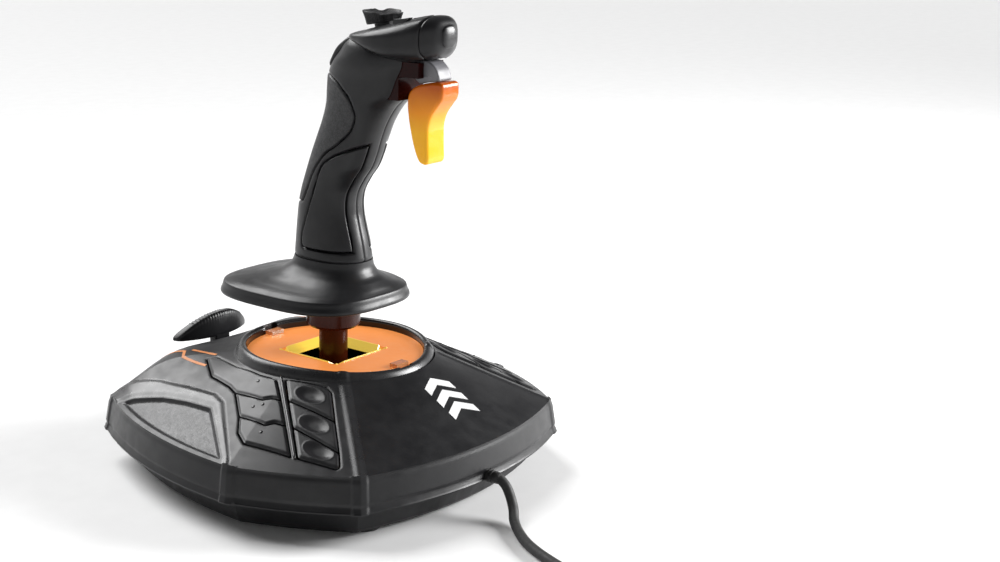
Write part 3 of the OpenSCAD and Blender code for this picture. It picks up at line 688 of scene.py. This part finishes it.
REAR_BUTTONS = [
    [[39.5, -38.5], [46, -19], [49, 0], [48.7, 9.5], [57.5, 20.5], [58.6, 15.5], [61, 12],
     [61.5, -4.5], [58.8, -11], [54.5, -27], [43, -42]],
    [[61.5, -4.5], [61, 12], [58.6, 15.5], [57.5, 20.5], [67.5, 32.6], [68.8, 27.3],
     [72, 24.5], [72.7, 9]],
    [[72.7, 9], [72, 24.5], [68.8, 27.3], [67.5, 32.6], [79, 46.5], [84.5, 23.5], [80.5, 16]]]
FRONT_BUTTONS = [
    [[46.8, 13], [40.2, 31.8], [41.2, 35.8], [53.2, 48.6], [56, 23.3]],
    [[56, 23.3], [53.2, 48.6], [65.3, 61.8], [66.5, 35.8]],
    [[66.5, 35.8], [65.3, 61.8], [70.5, 66.8], [72.6, 66.3], [78, 49.3]]]
FRONT_BAND = [[70.5, 78.2], [26.5, 28.5]]
BAND_TOP = [[93.8, 24.9], [66.7, -5.2], [63.3, -13.8], [61.5, -34.6], [60.6, -53.1],
            [62.4, -73.8]]
BAND_LOW = [[94.2, 19.5], [71.7, -9.4], [70.6, -26.1], [70.3, -42.6], [72.4, -62.6],
            [74.4, -70.6]]
SIDE_BAND = [[99, 29]] + BAND_TOP + [[63.5, -92], [80, -92]] + BAND_LOW[::-1] + [[100, 24]]
SIDE_RECESS = BAND_LOW + [[76, -92], [130, -92], [130, 22], [100, 24]]
RIB = [[46.4, 9.6], [56.8, 21.9], [67.0, 34.2], [79.2, 48.7]]
RECESS_DEPTH = 1.7
BAND_RISE = 0.7
BAND_HALF = 3.2


def cover_parts(p):
    """Depths inside the cover's raised bands and its sunken side recess."""
    q = folded(p)
    front = BAND_HALF - line_distance(q, FRONT_BAND)
    side = depth_inside(q, SIDE_BAND)
    recess = np.minimum(depth_inside(q, SIDE_RECESS) - 0.6, 0.9 * roof_height(p)[1] - 2.2)
    return front, side, recess


def cover_relief(p):
    front, side, recess = cover_parts(p)
    rise = BAND_RISE * np.maximum(0.6 * smooth(front, 0, 3.2), smooth(side, 0, 3.2))
    rise = rise - RECESS_DEPTH * smooth(recess, -0.4, 1.4)
    lip = np.full(rise.shape, -1e9)
    for polygon in REAR_BUTTONS + FRONT_BUTTONS:
        lip = np.maximum(lip, depth_inside(folded(p), polygon))
    return rise - 0.35 * smooth(lip, -1.1, 0.0)


COLLAR = [[47.5, 54.6], [47.1, 55.4], [46.6, 56.8], [45.8, 58.3], [44.8, 59.4], [43.8, 59.8],
          [42.9, 59.6], [42.2, 59.0], [42.0, 58.2], [42.0, 57.0]]
COLLAR_SINK = 3.0
SKIRT_LOW = 14.3
SKIRT_HIGH = EDGE_Z - 0.5
ROOF_ROWS = 110
UNIT = ARMS / FAR[:, None]
AHEAD = np.maximum(0, UNIT[:, 1])**2


def at_height(plan, z):
    return np.concatenate([plan, np.broadcast_to(z, len(plan))[:, None]], 1)


def edge_ring(grow, z):
    return at_height(CENTRE + UNIT * (FAR + grow)[:, None], z)


def round_ring(radius, z, sink=0.0):
    return at_height(CENTRE + UNIT * radius, z - sink * AHEAD)


def roof_plan(u):
    """The outline drawn in towards the collar by the share u."""
    return CENTRE + UNIT * ((1 - u) * FAR + u * ROOF_TOP_R)[:, None]


def skirt_rows(strip):
    """From the skirt's lower lip to just under the edge."""
    rows = []
    for t in np.linspace(0, 1, 22):
        z = SKIRT_LOW + (SKIRT_HIGH - SKIRT_LOW) * t
        lip = 1.1 * (1 - smooth(z, SKIRT_LOW, 15.6)) - 0.7 * math.exp(-((z - 17.6) / 0.5)**2)
        grow = 2.6 * (1 - t) + strip + (lip if t < 0.5 else 0.0) - 0.4 * smooth(t, 0.85, 1)
        rows.append(edge_ring(grow - 1.0 * (z < 14.5), z))
    return rows


def roof_rows(strip):
    """From the edge to the collar; relief stands square to the slope."""
    rows = []
    for k in range(ROOF_ROWS):
        u = 0.004 + 0.996 * k / (ROOF_ROWS - 1)
        plan = roof_plan(u)
        lift = cover_relief(plan) * smooth(u, 1.0, 0.96) if k else strip
        rows.append(at_height(plan + UNIT * (0.42 * lift)[:, None],
                              roof_height(plan)[0] + 0.85 * lift))
    return rows


def collar_rows():
    """The raised rim, with a kink where each front band meets it."""
    front = BAND_HALF - line_distance(np.abs(CENTRE + UNIT * 44), FRONT_BAND)
    kink = 0.5 * smooth(front, 0, 2.4) * (UNIT[:, 1] > 0)
    rows = []
    for radius, z in smooth_rows(COLLAR, 26)[1:]:
        fade = 1.0 if radius > 42.1 else 0.3
        ring = round_ring(radius, z, COLLAR_SINK)
        ring[:, 2] += kink * fade
        ring[:, :2] += UNIT * (kink * fade)[:, None] * 0.4
        rows.append(ring)
    return rows


def inner_rows():
    """The inside of the rim, the roof and the skirt."""
    rows = [round_ring(42, 53.6), round_ring(39.5, 53.6), round_ring(39.5, 51.2),
            round_ring(46, 51.2)]
    for u in (0.75, 0.4):
        plan = roof_plan(u)
        rows.append(at_height(plan, roof_height(plan)[0] - 2.9))
    return rows + [edge_ring(-3, 27.8), edge_ring(-1.4, 17.3), edge_ring(-8, 17.3),
                   edge_ring(-8, SKIRT_LOW)]


def cover_looks(rings, kinds):
    """Which look each face has, from where it lies: 0 skirt, 1 roof, 2 collar."""
    front, side, recess = cover_parts(rings[..., :2])
    kinds = np.array(kinds)[:, None]
    looks = np.zeros(rings.shape[:2], int)
    looks[(kinds == 1) & (recess > 0.4)] = 3
    # Look 1, the band look, has a painted highlight in its lighter colour. It goes on the raised
    # bands here and on the collar's outer face below.
    looks[(kinds == 1) & ((front > 0.2) | (side > 0.2))] = 1
    outside = np.linalg.norm(rings[..., :2] - CENTRE, axis=-1) > 42.3
    looks[(kinds == 2) & outside] = 1
    looks[(kinds == 2) & ~outside] = 2
    return looks.reshape(-1)


def cover_tools():
    """Room for the buttons, the slider's slot, the cable and the lens tabs."""
    tools = []
    for polygon in REAR_BUTTONS + FRONT_BUTTONS:
        for side in (1, -1):
            tools.append(prism(rounded(inset(polygon, -0.3), 1.2) * [side, 1], 25, 90))
    slot = [[-5.4, -88.5], [5.4, -88.5], [5.4, -63], [-5.4, -63]]
    tools.append(prism(rounded(slot, 2), 32, 56))
    tools.append(rod_tool((0, 74, 15.9), (0, 1, 0), 26, 3.3))
    for y in (-41, 43):
        tools.append(box_tool((-4.5, y - 2.1, 55.0), (4.5, y + 2.1, 66)))
    return tools


def make_top_cover():
    corner = np.min([np.linalg.norm(OUTLINE - c, axis=1) for c in CORNERS], axis=0)
    strip = 0.8 * smooth(4.2 - corner, 0, 1.2)
    skirt, roof, collar, inner = skirt_rows(strip), roof_rows(strip), collar_rows(), inner_rows()
    rings = np.array(skirt + roof + collar + inner)
    kinds = [0] * len(skirt) + [1] * len(roof) + [2] * (len(collar) + 1) + [0] * (len(inner) - 1)
    cover = loop("base_top_shell", rings, "base",
                 [BLACK, BAND, GLOSS, RECESS], 45, cover_looks(rings, kinds))
    combine(cover, cover_tools(), "DIFFERENCE", 45)
    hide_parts("base_top_cover")


make_top_cover()


def roof_patch(name, polygon, rise, drop, relief, body, looks, step):
    """A piece of the roof's own surface inside a plan outline."""
    points = np.asarray(polygon, float)
    low = points.min(0) - 1.2
    high = points.max(0) + 1.2
    nx, ny = [int(n) + 2 for n in (high - low) / step]
    xs, ys = np.meshgrid(np.linspace(low[0], high[0], nx), np.linspace(low[1], high[1], ny))
    plan = np.stack([xs, ys], -1)
    z = roof_height(plan)[0]
    top = np.concatenate([plan, (z + rise + relief(plan))[..., None]], -1)
    bottom = np.concatenate([plan, (z + drop)[..., None]], -1)
    count = nx * ny
    upper = grid_faces(ny, nx)
    faces = upper.tolist() + (upper[:, ::-1] + count).tolist()
    rim = ([(0, k) for k in range(nx - 1)] + [(k, nx - 1) for k in range(ny - 1)]
           + [(ny - 1, k) for k in range(nx - 1, 0, -1)] + [(k, 0) for k in range(ny - 1, 0, -1)])
    rim = [a * nx + b for a, b in rim]
    for a, b in zip(rim, rim[1:] + rim[:1]):
        faces.append([b, a, a + count, b + count])
    verts = np.concatenate([top.reshape(-1, 3), bottom.reshape(-1, 3)])
    piece = new_piece(name, verts, faces, body, looks)
    combine(piece, [prism(points, 10, 95)], "INTERSECT")
    return piece


DISHES = {("front", 0): (48.6, 29.6), ("front", 1): (60.2, 42.6), ("front", 2): (70.0, 54.0)}
DOTS = {("rear", 0): [(53, 1.7)], ("rear", 1): [(66.3, 11.5), (63.6, 14.8)],
        ("rear", 2): [(76.4, 26.2)]}
DOT_R = 0.85
BUTTON_RISE = 0.8


def button_relief(kind, index, outline):
    along = np.array([-0.11, 0.994])
    across = np.array([0.994, 0.11])

    def relief(p):
        edge = depth_inside(p, outline)
        rise = -0.75 * (1 - smooth(edge, 0, 1.0))
        if (kind, index) in DISHES:
            v = p - np.array(DISHES[kind, index])
            e = (v @ along / 7.2)**2 + (v @ across / 4.3)**2
            rise = rise - 1.1 * smooth(1 - e, 0, 1.0) + 0.12 * np.exp(-((e - 1.1) / 0.12)**2)
        return rise
    return relief


def make_base_buttons():
    for kind, group in (("rear", REAR_BUTTONS), ("front", FRONT_BUTTONS)):
        for k, polygon in enumerate(group):
            outline = rounded(inset(polygon, 0.38), 1.0)
            node = f"right_{kind}_button_{k + 1}"
            piece = roof_patch(f"{node}_cap", outline, BUTTON_RISE, -4.2,
                               button_relief(kind, k, outline), node,
                               [BUTTON], 0.4)
            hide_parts(node)
            node = f"left_{kind}_button_{k + 1}"
            twin = mirrored(f"{node}_cap", piece, node)
            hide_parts(node)
            for number, dot in enumerate(DOTS.get((kind, k), [])):
                for side, name in ((1, "right"), (-1, "left")):
                    make_dot((side * dot[0], dot[1]), f"{name}_{kind}_button_{k + 1}", number)


def make_dot(place, node, number):
    """A small raised dot on top of a button."""
    a = turning(20)
    rings = []
    for t in np.linspace(0, 1, 6):
        radius = DOT_R * math.cos(t * math.pi / 2 * 0.97)
        ring = np.stack([place[0] + radius * np.cos(a), place[1] + radius * np.sin(a)], -1)
        base = roof_height(ring)[0] + BUTTON_RISE
        lift = -0.3 if t == 0 else 0.0
        rings.append(at_height(ring, base + lift + 0.4 * math.sin(t * 1.5)))
    stack(f"{node}_dot_{number + 1}", rings, node, [GLOSS], 60)


def make_ribs():
    """A thin bar between the two columns of buttons."""
    line = smooth_rows(RIB, 60)
    way = np.gradient(line, axis=0)
    way /= np.linalg.norm(way, axis=1, keepdims=True)
    z = roof_height(line)[0]
    rings = []
    for k, (p, w) in enumerate(zip(line, way)):
        across = np.array([-w[1], w[0]])
        end = math.sqrt(max(0.05, 1 - (abs(2 * k / 59 - 1))**20))
        ring = []
        for j in range(20):
            a = 2 * math.pi * j / 20
            q = p + across * 0.75 * end * math.cos(a)
            ring.append((q[0], q[1], z[k] + 0.35 + 0.85 * end * math.sin(a)))
        rings.append(ring)
    # The bar takes the band look, whose lighter colour is a painted highlight.
    bar = stack("right_button_divider", rings, "base", [BAND], 60)
    mirrored("left_button_divider", bar, "base")


make_base_buttons()
make_ribs()

STRIPES = [
    [[37.4, -40.4], [38.2, -56], [39.6, -56], [38.8, -40.4]],
    [[46.8, -38], [45.6, -54.4], [40.6, -58.6], [42.8, -76], [44.2, -75.6], [42.2, -59.2],
     [47, -55], [48.2, -38]]]


def flat_relief(p):
    return np.zeros(p.shape[:-1])


def make_marks():
    first = None
    for k in range(3):
        y = 54 + 7 * k
        points = [[-15, y + 4], [-6, y], [3, y + 4], [3, y + 8], [-6, y + 4], [-15, y + 8]]
        piece = roof_patch(f"front_mark_{k + 1}", points, 0.18, -0.4, flat_relief, "base",
                           [MARK], 0.8)
        first = first or piece
    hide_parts("front_emblem")
    for k, points in enumerate(STRIPES):
        piece = roof_patch(f"right_stripe_{k + 1}", points, 0.14, -0.4, flat_relief, "base",
                           [ORANGE], 0.8)
        mirrored(f"left_stripe_{k + 1}", piece, "base")
        if k == 0:
            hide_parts("side_stripes")


make_marks()


PADDLE_HALF = 24
PADDLE_LOW = 47.6
PADDLE_TOP = 60.3
PADDLE_R = 31
CURL_R = 40
LEVER_Y = -77


def make_lever():
    """A half-moon paddle with fine ridges, on a stem."""
    rings = []
    for x in np.linspace(-PADDLE_HALF, PADDLE_HALF, 97):
        top = PADDLE_TOP - PADDLE_R + math.sqrt(PADDLE_R**2 - x**2)
        half_h = (top - PADDLE_LOW) / 2
        mid = (top + PADDLE_LOW) / 2
        back = LEVER_Y + math.sqrt(CURL_R**2 - x**2) - CURL_R
        end = math.sqrt(max(0.02, 1 - (abs(x) / (PADDLE_HALF + 0.02))**24))
        ridge = 0.22 * math.cos(2 * math.pi * x / 1.6) * (abs(x) < 17)
        ring = []
        for k in range(40):
            a = 2 * math.pi * k / 40
            c, s = math.cos(a), math.sin(a)
            thick = 2.8 * end
            wave = ridge * max(0.0, s)
            square = 0.6 if s > 0 else 0.25
            ring.append((x, back + (thick + wave) * math.copysign(abs(c)**0.5, c),
                         mid + (half_h * (0.6 + 0.4 * end) + wave)
                         * math.copysign(abs(s)**square, s)))
        rings.append(ring)
    paddle = stack("throttle_paddle", rings, "throttle_lever", [BUTTON], 50)
    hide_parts("throttle_lever")
    stem = prism(rounded([[-5, -79.5], [5, -79.5], [5, -74.5], [-5, -74.5]], 1.2), 36, 48.6)
    stem.name = "throttle_stem"
    stem.data.materials.append(BUTTON)
    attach(stem, "throttle_lever")
    shade(stem, 40)


make_lever()

# ---------------------------------------------------------------- hand rest
REST_TOP = [[15.0, 19.5, 0, 101.3, 2.3], [15.7, 20.2, -0.4, 98.5, 2.3],
            [18.2, 23.2, -1.7, 95, 2.3], [23.0, 28.8, -4.4, 92, 2.4],
            [29.0, 34.8, -8.2, 89.8, 2.6], [33.6, 39.2, -11.2, 88.2, 2.9],
            [35, 40.8, -12, 87.4, 3]]
REST_RIM = [[35, 40.8, -12, 87.4, 3], [35.4, 41.2, -12, 87.1, 3], [35.6, 41.4, -12, 86.6, 3],
            [36, 41.8, -12, 85, 3], [36.9, 42.7, -12, 82.2, 3], [36.8, 42.6, -12, 81.7, 3],
            [36.4, 42.2, -12, 81.4, 3]]
REST_UNDER = [[34.4, 40.2, -12, 81.4, 3], [34.1, 39.9, -12, 81.9, 3],
              [33, 38.8, -11.6, 84.4, 2.9], [26.5, 32, -8, 86.2, 2.6],
              [19, 22, -3, 88.6, 2.3], [14.7, 14.7, 0, 91.5, 2], [7.1, 7.1, 0, 92, 2],
              [7.1, 7.1, 0, 101.3, 2]]


def squircle(half_x, half_y, centre_y, z, power, angles):
    c, s = np.cos(angles), np.sin(angles)
    return np.stack([np.sign(c) * half_x * np.abs(c)**(2 / power),
                     centre_y + np.sign(s) * half_y * np.abs(s)**(2 / power),
                     np.broadcast_to(z, c.shape)], -1)


def make_hand_rest():
    angles = turning(240)
    rows = np.concatenate([smooth_rows(REST_TOP, 44), smooth_rows(REST_RIM, 18)[1:],
                           np.array(REST_UNDER)])
    rings = [squircle(*row, angles) for row in rows]
    rest = loop("hand_rest_shell", rings, "stick", [BLACK], 50)
    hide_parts("hand_rest")


make_hand_rest()

# ---------------------------------------------------------------- grip
GRIP_ROWS = [[101.5, 0, 14.8, 19.5], [110, -0.6, 14, 18.4], [118, -1.4, 13.2, 17],
             [124, -1.75, 12.8, 16], [133, -0.4, 12.6, 15.2], [140, 2.8, 13, 15.9],
             [146, 6.2, 13.5, 17], [152, 8.8, 13.7, 17.2], [160, 12, 14, 16.8],
             [167, 15, 14.2, 16.8], [174, 18.4, 14.8, 18], [181, 22, 15.4, 21.2],
             [188, 24, 16, 22.3], [194.8, 27.4, 16.6, 22], [198.6, 29, 15.8, 20.5],
             [203.5, 28.6, 13.6, 17], [206.4, 28, 10.6, 13]]
PALM = [[-24, 126], [-9, 127], [-5.5, 134], [-1, 143], [6, 151.5], [14, 156.5], [21.5, 163],
        [25, 171], [22.5, 179], [15, 186], [6, 189], [-24, 189]]
REST = [[-9, 112], [-4, 128], [1, 141], [4.5, 147.5], [12, 152], [22, 156], [38, 161.5],
        [40, 106], [-8, 106]]
PAD_DEPTH = 1.2
PAD_PROUD = 0.1


def grip_surface(rows, angles):
    """Points on the grip, and the level direction straight out of each."""
    table = smooth_rows(GRIP_ROWS, rows)
    points = []
    outs = []
    for z, centre, wide, deep in table:
        ring = squircle(wide, deep, centre, z, 2.3, angles)
        points.append(ring)
        nx = np.sign(ring[:, 0]) * (np.abs(ring[:, 0]) / wide)**1.3 / wide
        dy = ring[:, 1] - centre
        ny = np.sign(dy) * (np.abs(dy) / deep)**1.3 / deep
        n = np.stack([nx, ny, np.zeros_like(nx)], -1)
        outs.append(n / np.linalg.norm(n, axis=1, keepdims=True))
    return np.array(points), np.array(outs)


def palm_depth(p):
    return np.minimum(depth_inside(p[..., 1:], rounded(PALM, 3)), p[..., 0] + 5)


def side_depth(p, side):
    return np.minimum(depth_inside(p[..., 1:], rounded(REST, 3)), side * p[..., 0] - 5.5)


REAR_PRESS = (0.7507, -0.6606)
REAR_LINE = [[7, 193.4], [10.6, 199], [16.4, 203.4]]
REAR_ENDS = [(2.4, 0.3), (2.1, 0.62), (1.3, 0.86)]


def make_rear_sweep(name, grow, body, looks, pressed=0.0):
    """A bar that follows the curve of the rear button, moved inwards by `pressed`."""
    line = smooth_rows(REAR_LINE, 15)
    way = np.gradient(line, axis=0)
    way /= np.linalg.norm(way, axis=1, keepdims=True)
    heads = [(line[0] - way[0] * f, way[0], g) for f, g in REAR_ENDS]
    middle = [(p, w, 1.0) for p, w in zip(line, way)]
    tails = [(line[-1] + way[-1] * f, way[-1], g) for f, g in REAR_ENDS[::-1]]
    rings = []
    for place, w, scale in heads + middle + tails:
        up = np.array([-w[1], w[0]])
        ring = []
        for k in range(56):
            a = 2 * math.pi * k / 56
            c, s = math.cos(a), math.sin(a)
            x = (9.9 + grow - 1.4 * (1 - scale)) * math.copysign(abs(c)**0.6, c)
            off = (2.4 + grow) * scale * math.copysign(abs(s)**0.75, s)
            ring.append((x, place[0] + up[0] * off + REAR_PRESS[0] * pressed,
                         place[1] + up[1] * off + REAR_PRESS[1] * pressed))
        rings.append(ring)
    return stack(name, rings, body, looks, 60)


def rear_tool(grow, pressed=0.0):
    return make_rear_sweep("tool", grow, None, [], pressed)


def make_grip():
    for side, name in ((1, "right"), (-1, "left")):
        angles = np.linspace(-math.pi / 2, math.pi / 2, 101)
        outer, out = grip_surface(196, angles)
        outer[..., 0] *= side
        out[..., 0] *= side
        sunk = np.maximum(palm_depth(outer), side_depth(outer, side))
        move = -1.4 * smooth(sunk, -0.05, 0.3) - 0.2 * np.exp(-(np.minimum(sunk, 0) / 0.45)**2)
        move -= 0.3 * np.exp(-(outer[..., 0] / 0.45)**2)
        move[0] -= 0.5
        move[1] -= 0.2
        outer = outer + out * move[..., None]
        outer[..., 0] = side * np.maximum(side * outer[..., 0], 0.06)
        inner = outer - out * (3.0 + move)[..., None]
        inner[..., 0] = side * np.maximum(side * inner[..., 0], 0.06)
        rings = np.concatenate([outer, inner[:, ::-1]], 1)
        shell = stack(f"grip_{name}_half", rings, "stick", [GRIP], 50)
        tools = [box_tool((-8.9, 37, 179), (8.9, 67, 209)), head_tool(),
                 rear_tool(1.2), rear_tool(0.8, 1.3)]
        combine(shell, tools, "DIFFERENCE", 50)
        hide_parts(f"grip_{name}_shell")


def make_pad(name, node, depth, look):
    """A pad let into the grip: a skin over one region, whose edges roll down into the gap."""
    rows, cols = 360, 400
    points, out = grip_surface(rows, np.linspace(-math.pi, math.pi, cols, endpoint=False))
    inside = depth(points)
    move = PAD_PROUD - (PAD_PROUD + PAD_DEPTH) * (1 - smooth(inside, 0.3, 1.3))
    points = points + out * move[..., None]
    faces = grid_faces(rows, cols, False, True)
    faces = faces[(inside.reshape(-1)[faces] > 0.25).all(1)]
    used, index = np.unique(faces, return_inverse=True)
    pad = new_piece(name, points.reshape(-1, 3)[used], index.reshape(-1, 4), "stick",
                    [look], 60)
    solid = pad.modifiers.new("solid", "SOLIDIFY")
    solid.thickness = 0.1 * MM
    solid.offset = -1
    apply_modifiers(pad)
    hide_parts(node)


def head_tool():
    """The head's own body a little larger, which the grip's top makes room for."""
    rings = head_rings(18.2, 65.6)
    grown = []
    for ring in closing_rings(rings[0], -1, 1.2)[::-1] + rings:
        away = ring - ring.mean(0)
        away /= np.maximum(np.linalg.norm(away, axis=1, keepdims=True), 1e-6)
        grown.append(ring + away * 0.12)
    return stack("tool", grown, None, [])


# ---------------------------------------------------------------- head
HEAD_ROWS = [[18.2, 10.5, 204.0, 207.2], [21, 13.2, 203.2, 208], [26, 15.4, 201.4, 209.2],
             [32, 17.2, 199.0, 210.8], [40, 17.8, 197.0, 212.6], [48, 17.2, 196.2, 214.4],
             [55, 15.2, 196.4, 216.0], [60, 12.2, 197.6, 216.6], [63.6, 8.6, 200.2, 215.4],
             [65.6, 5, 203.2, 212.8]]
SEAM_Y = 59.0
SEAM_HALF = 0.12
HAT = (0.0, 30.4, 206.2)
HAT_TILT = math.radians(11)


def head_rings(low, high):
    table = smooth_rows(HEAD_ROWS, 200)
    table = table[(table[:, 0] >= low) & (table[:, 0] <= high)]
    a = turning(160)
    c, s = np.cos(a), np.sin(a)
    rings = []
    for y, wide, bottom, top in table:
        edge = min(abs(y - low), abs(y - high))
        tuck = 0.4 * math.exp(-(edge / 0.5)**2) if min(abs(y - SEAM_Y), 9) < 3 else 0.0
        mid, half = (bottom + top) / 2, (top - bottom) / 2
        rings.append(np.stack([np.sign(c) * (wide - tuck) * np.abs(c)**(2 / 2.8),
                               np.full_like(c, y),
                               mid + np.sign(s) * (half - tuck) * np.abs(s)**(2 / 2.8)], -1))
    return rings


def closing_rings(ring, way, reach):
    """Shrinking rings that round off an open end."""
    middle = ring.mean(0)
    out = []
    for k in range(1, 13):
        t = k / 12
        scale = math.sqrt(1 - (t * 0.98)**2)
        shrunk = middle + (ring - middle) * (0.1 + 0.9 * scale)
        shrunk[:, 1] = ring[0, 1] + way * reach * t
        out.append(shrunk)
    return out


def slot_tool(x):
    """The room round one of the two head buttons."""
    ring = []
    for k in range(32):
        a = 2 * math.pi * k / 32
        y = 47.5 if math.sin(a) > 0 else 43.5
        ring.append((x + 3.3 * math.cos(a), y + 3.3 * math.sin(a)))
    return prism(ring, 202, 225)


def add_head_part(name, node, rings, tools):
    piece = stack(name, rings, "stick", [GRIP], 50)
    combine(piece, tools, "DIFFERENCE", 50)
    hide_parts(node)


def make_head():
    hat_axis = (0, -math.sin(HAT_TILT), math.cos(HAT_TILT))
    rings = head_rings(15, SEAM_Y - SEAM_HALF)
    tools = [rod_tool(HAT, hat_axis, 12, 7), slot_tool(7.4), slot_tool(-7.4),
             rear_tool(0.6), rear_tool(0.5, 1.3),
             box_tool((-8.3, 21.6, 190), (8.3, 62, 201.6)),
             box_tool((-8.2, 24, 198), (8.2, 55, 207))]
    add_head_part("head_body", "head_shell", closing_rings(rings[0], -1, 1.2)[::-1] + rings, tools)
    rings = head_rings(SEAM_Y + SEAM_HALF, 65.6)
    tools = [box_tool((-5.2, 50, 190), (5.2, 66, 198.4))]
    add_head_part("head_front", "head_nose", rings + closing_rings(rings[-1], 1, 1.3), tools)


make_grip()
make_pad("palm_rest", "palm_pad", palm_depth, PAD)
make_pad("right_rest", "right_side_rest", lambda p: side_depth(p, 1), GRIP)
make_pad("left_rest", "left_side_rest", lambda p: side_depth(p, -1), GRIP)
make_head()
rear = make_rear_sweep("rear_thumb_button", 0.0, "head_rear_button",
                       [BUTTON])
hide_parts("head_rear_button")


def make_hat():
    """A four-lobed cap with a dished, ribbed top."""
    a = turning(288)
    lobe = 1 - 0.22 * smooth(np.abs(np.cos(2 * a)), 0.85, 0.1)
    turn = np.array([[1, 0, 0], [0, math.cos(HAT_TILT), -math.sin(HAT_TILT)],
                     [0, math.sin(HAT_TILT), math.cos(HAT_TILT)]])

    def dish(x, y):
        return 29.8 - np.sqrt(22**2 - x**2 - (y - 4.5)**2)

    rings = []
    for radius, z in [(0.1, 5.6), (6.8, 5.6), (7.9, 5.62), (8.3, 5.8)]:
        rings.append((radius * lobe, np.full(len(a), z)))
    rim_x, rim_y = 9.5 * lobe * np.cos(a), 9.5 * lobe * np.sin(a)
    rim = np.minimum(dish(rim_x, rim_y) + 0.35, 12.4)
    for t in np.linspace(0, 1, 18):
        waist = 8.3 + 1.2 * t**1.5 + 0.14 * np.cos(72 * a) * (0 < t < 1)
        rings.append((waist * lobe, 5.95 + (rim - 0.3 - 5.95) * t))
    rings.append((9.4 * lobe, rim - 0.05))
    rings.append((9.1 * lobe, rim))
    for radius in np.linspace(8.8, 0.1, 32):
        x, y = radius * lobe * np.cos(a), radius * lobe * np.sin(a)
        ribs = np.maximum(0, np.cos(2 * math.pi * y / 1.3)) * smooth(radius, 1.0, 3.0)
        edge = smooth(radius, 8.0, 8.8)
        top = np.minimum(dish(x, y), 12.2) + 0.2 * ribs * (1 - edge) + 0.3 * edge
        rings.append((radius * lobe, top))
    rings = [np.stack([r * np.cos(a), r * np.sin(a), z], -1) @ turn.T + np.array(HAT)
             for r, z in rings]
    hat = stack("hat_lobed_cap", rings, "hat", [PAD], 60)
    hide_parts("hat_cap")
    profile = [(1.8, 1.0), (1.8, 2.7), (3.6, 3.1), (4.2, 3.5), (4.4, 6.0)]
    revolve("hat_stem", profile, "hat", [PAD], HAT, turn)


make_hat()

# ---------------------------------------------------------------- trigger
BLADE = [[48.1, 182.2], [50.6, 185.2], [53.6, 186.8], [57, 187.7], [62, 188.6], [67, 188.8],
         [67.2, 181.8], [64.4, 178.4], [61, 174], [59.4, 168.6], [59.6, 160.8], [60, 153.6],
         [58.5, 152], [55, 152.6], [53, 156], [50.8, 162], [48.9, 169.8], [47.8, 176.8]]
ARM = [[53.6, 187], [57, 187.9], [62, 188.8], [64.6, 189], [62.4, 194.6], [58.6, 197.4],
       [52.4, 197.4], [49.4, 195], [49.2, 191.4], [51, 188.6]]
TRIGGER_PIN = (-10, 53, 193.4)
PIN_BORE_R = 1.55


def plate(name, outline, half, corner, looks):
    """A plate in y and z with rolled edges."""
    line = rounded(outline, 2.2, 6)
    way = np.roll(line, -1, 0) - np.roll(line, 1, 0)
    way /= np.linalg.norm(way, axis=1, keepdims=True)
    area = sum(a[0] * b[1] - a[1] * b[0] for a, b in zip(line, np.roll(line, -1, 0)))
    inward = np.stack([-way[:, 1], way[:, 0]], -1) * (1 if area > 0 else -1)
    levels = []
    for k in range(7):
        a = math.pi / 2 * k / 6
        levels.append((-half + corner * (1 - math.sin(a)), corner * (1 - math.cos(a))))
    levels = sorted(set(levels))
    flip = [(-x, tuck) for x, tuck in levels][::-1]
    middle = [(x, 0.0) for x in np.linspace(-half + corner, half - corner, 12)[1:-1]]
    rings = []
    for x, tuck in levels + middle + flip:
        ring = line + inward * tuck
        rings.append(np.concatenate([np.full((len(ring), 1), x), ring], 1))
    return stack(name, rings, "trigger", looks, 50)


def make_trigger():
    blade = plate("trigger_finger", BLADE, 6.5, 1.6, [TRIGGER])
    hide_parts("trigger_blade")
    arm = plate("trigger_lever", ARM, 4.6, 0.8, [GREY])
    combine(arm, [rod_tool(TRIGGER_PIN, (1, 0, 0), 20, PIN_BORE_R)], "DIFFERENCE")
    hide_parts("trigger_arm")


make_trigger()

# ---------------------------------------------------------------- carried-over nodes
# GLOW, BEZEL, CLEAR and AMBER carry a painted glow by emission.
NODE_LOOKS = {
    "base_bottom_cover": (LOWER, 0.6), "glow_plate": (GLOW, 0.25), "hole_bezel": (BEZEL, 0.2),
    "lens_tabs": (CLEAR, 0.4), "gimbal_housing": (LOWER, 0.4), "main_circuit_board": (BOARD, 0),
    "sensor_board": (BOARD, 0), "button_boards": (BOARD, 0), "button_switches": (LOWER, 0),
    "slider_potentiometer": (STEEL, 0.3), "ballast_plate": (STEEL, 0.4),
    "rubber_feet": (RUBBER, 0.3), "bottom_screws": (STEEL, 0.1), "gimbal_ring": (LOWER, 0.4),
    "roll_springs": (STEEL, 0), "gimbal_hub": (LOWER, 0.4), "pitch_springs": (STEEL, 0),
    "twist_sensor": (LOWER, 0.3), "sensor_magnet": (STEEL, 0.2), "stick_shaft": (AMBER, 0.4),
    "retaining_ring": (STEEL, 0.2), "shaft_collar": (AMBER, 0.6),
    "head_left_button": (GLOSS, 0.5), "head_right_button": (GLOSS, 0.5),
    "head_circuit_board": (BOARD, 0), "hat_rocker": (LOWER, 0.2),
    "trigger_housing": (RED_GLOSS, 0.5)}


def dress_nodes():
    for node, (look, bevel) in NODE_LOOKS.items():
        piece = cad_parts[node]
        piece.data.materials.clear()
        piece.data.materials.append(look)
        if bevel:
            modifier = piece.modifiers.new("bevel", "BEVEL")
            modifier.width = bevel * MM
            modifier.segments = 3
            modifier.limit_method = "ANGLE"
            modifier.angle_limit = math.radians(35)
            modifier.harden_normals = False


dress_nodes()
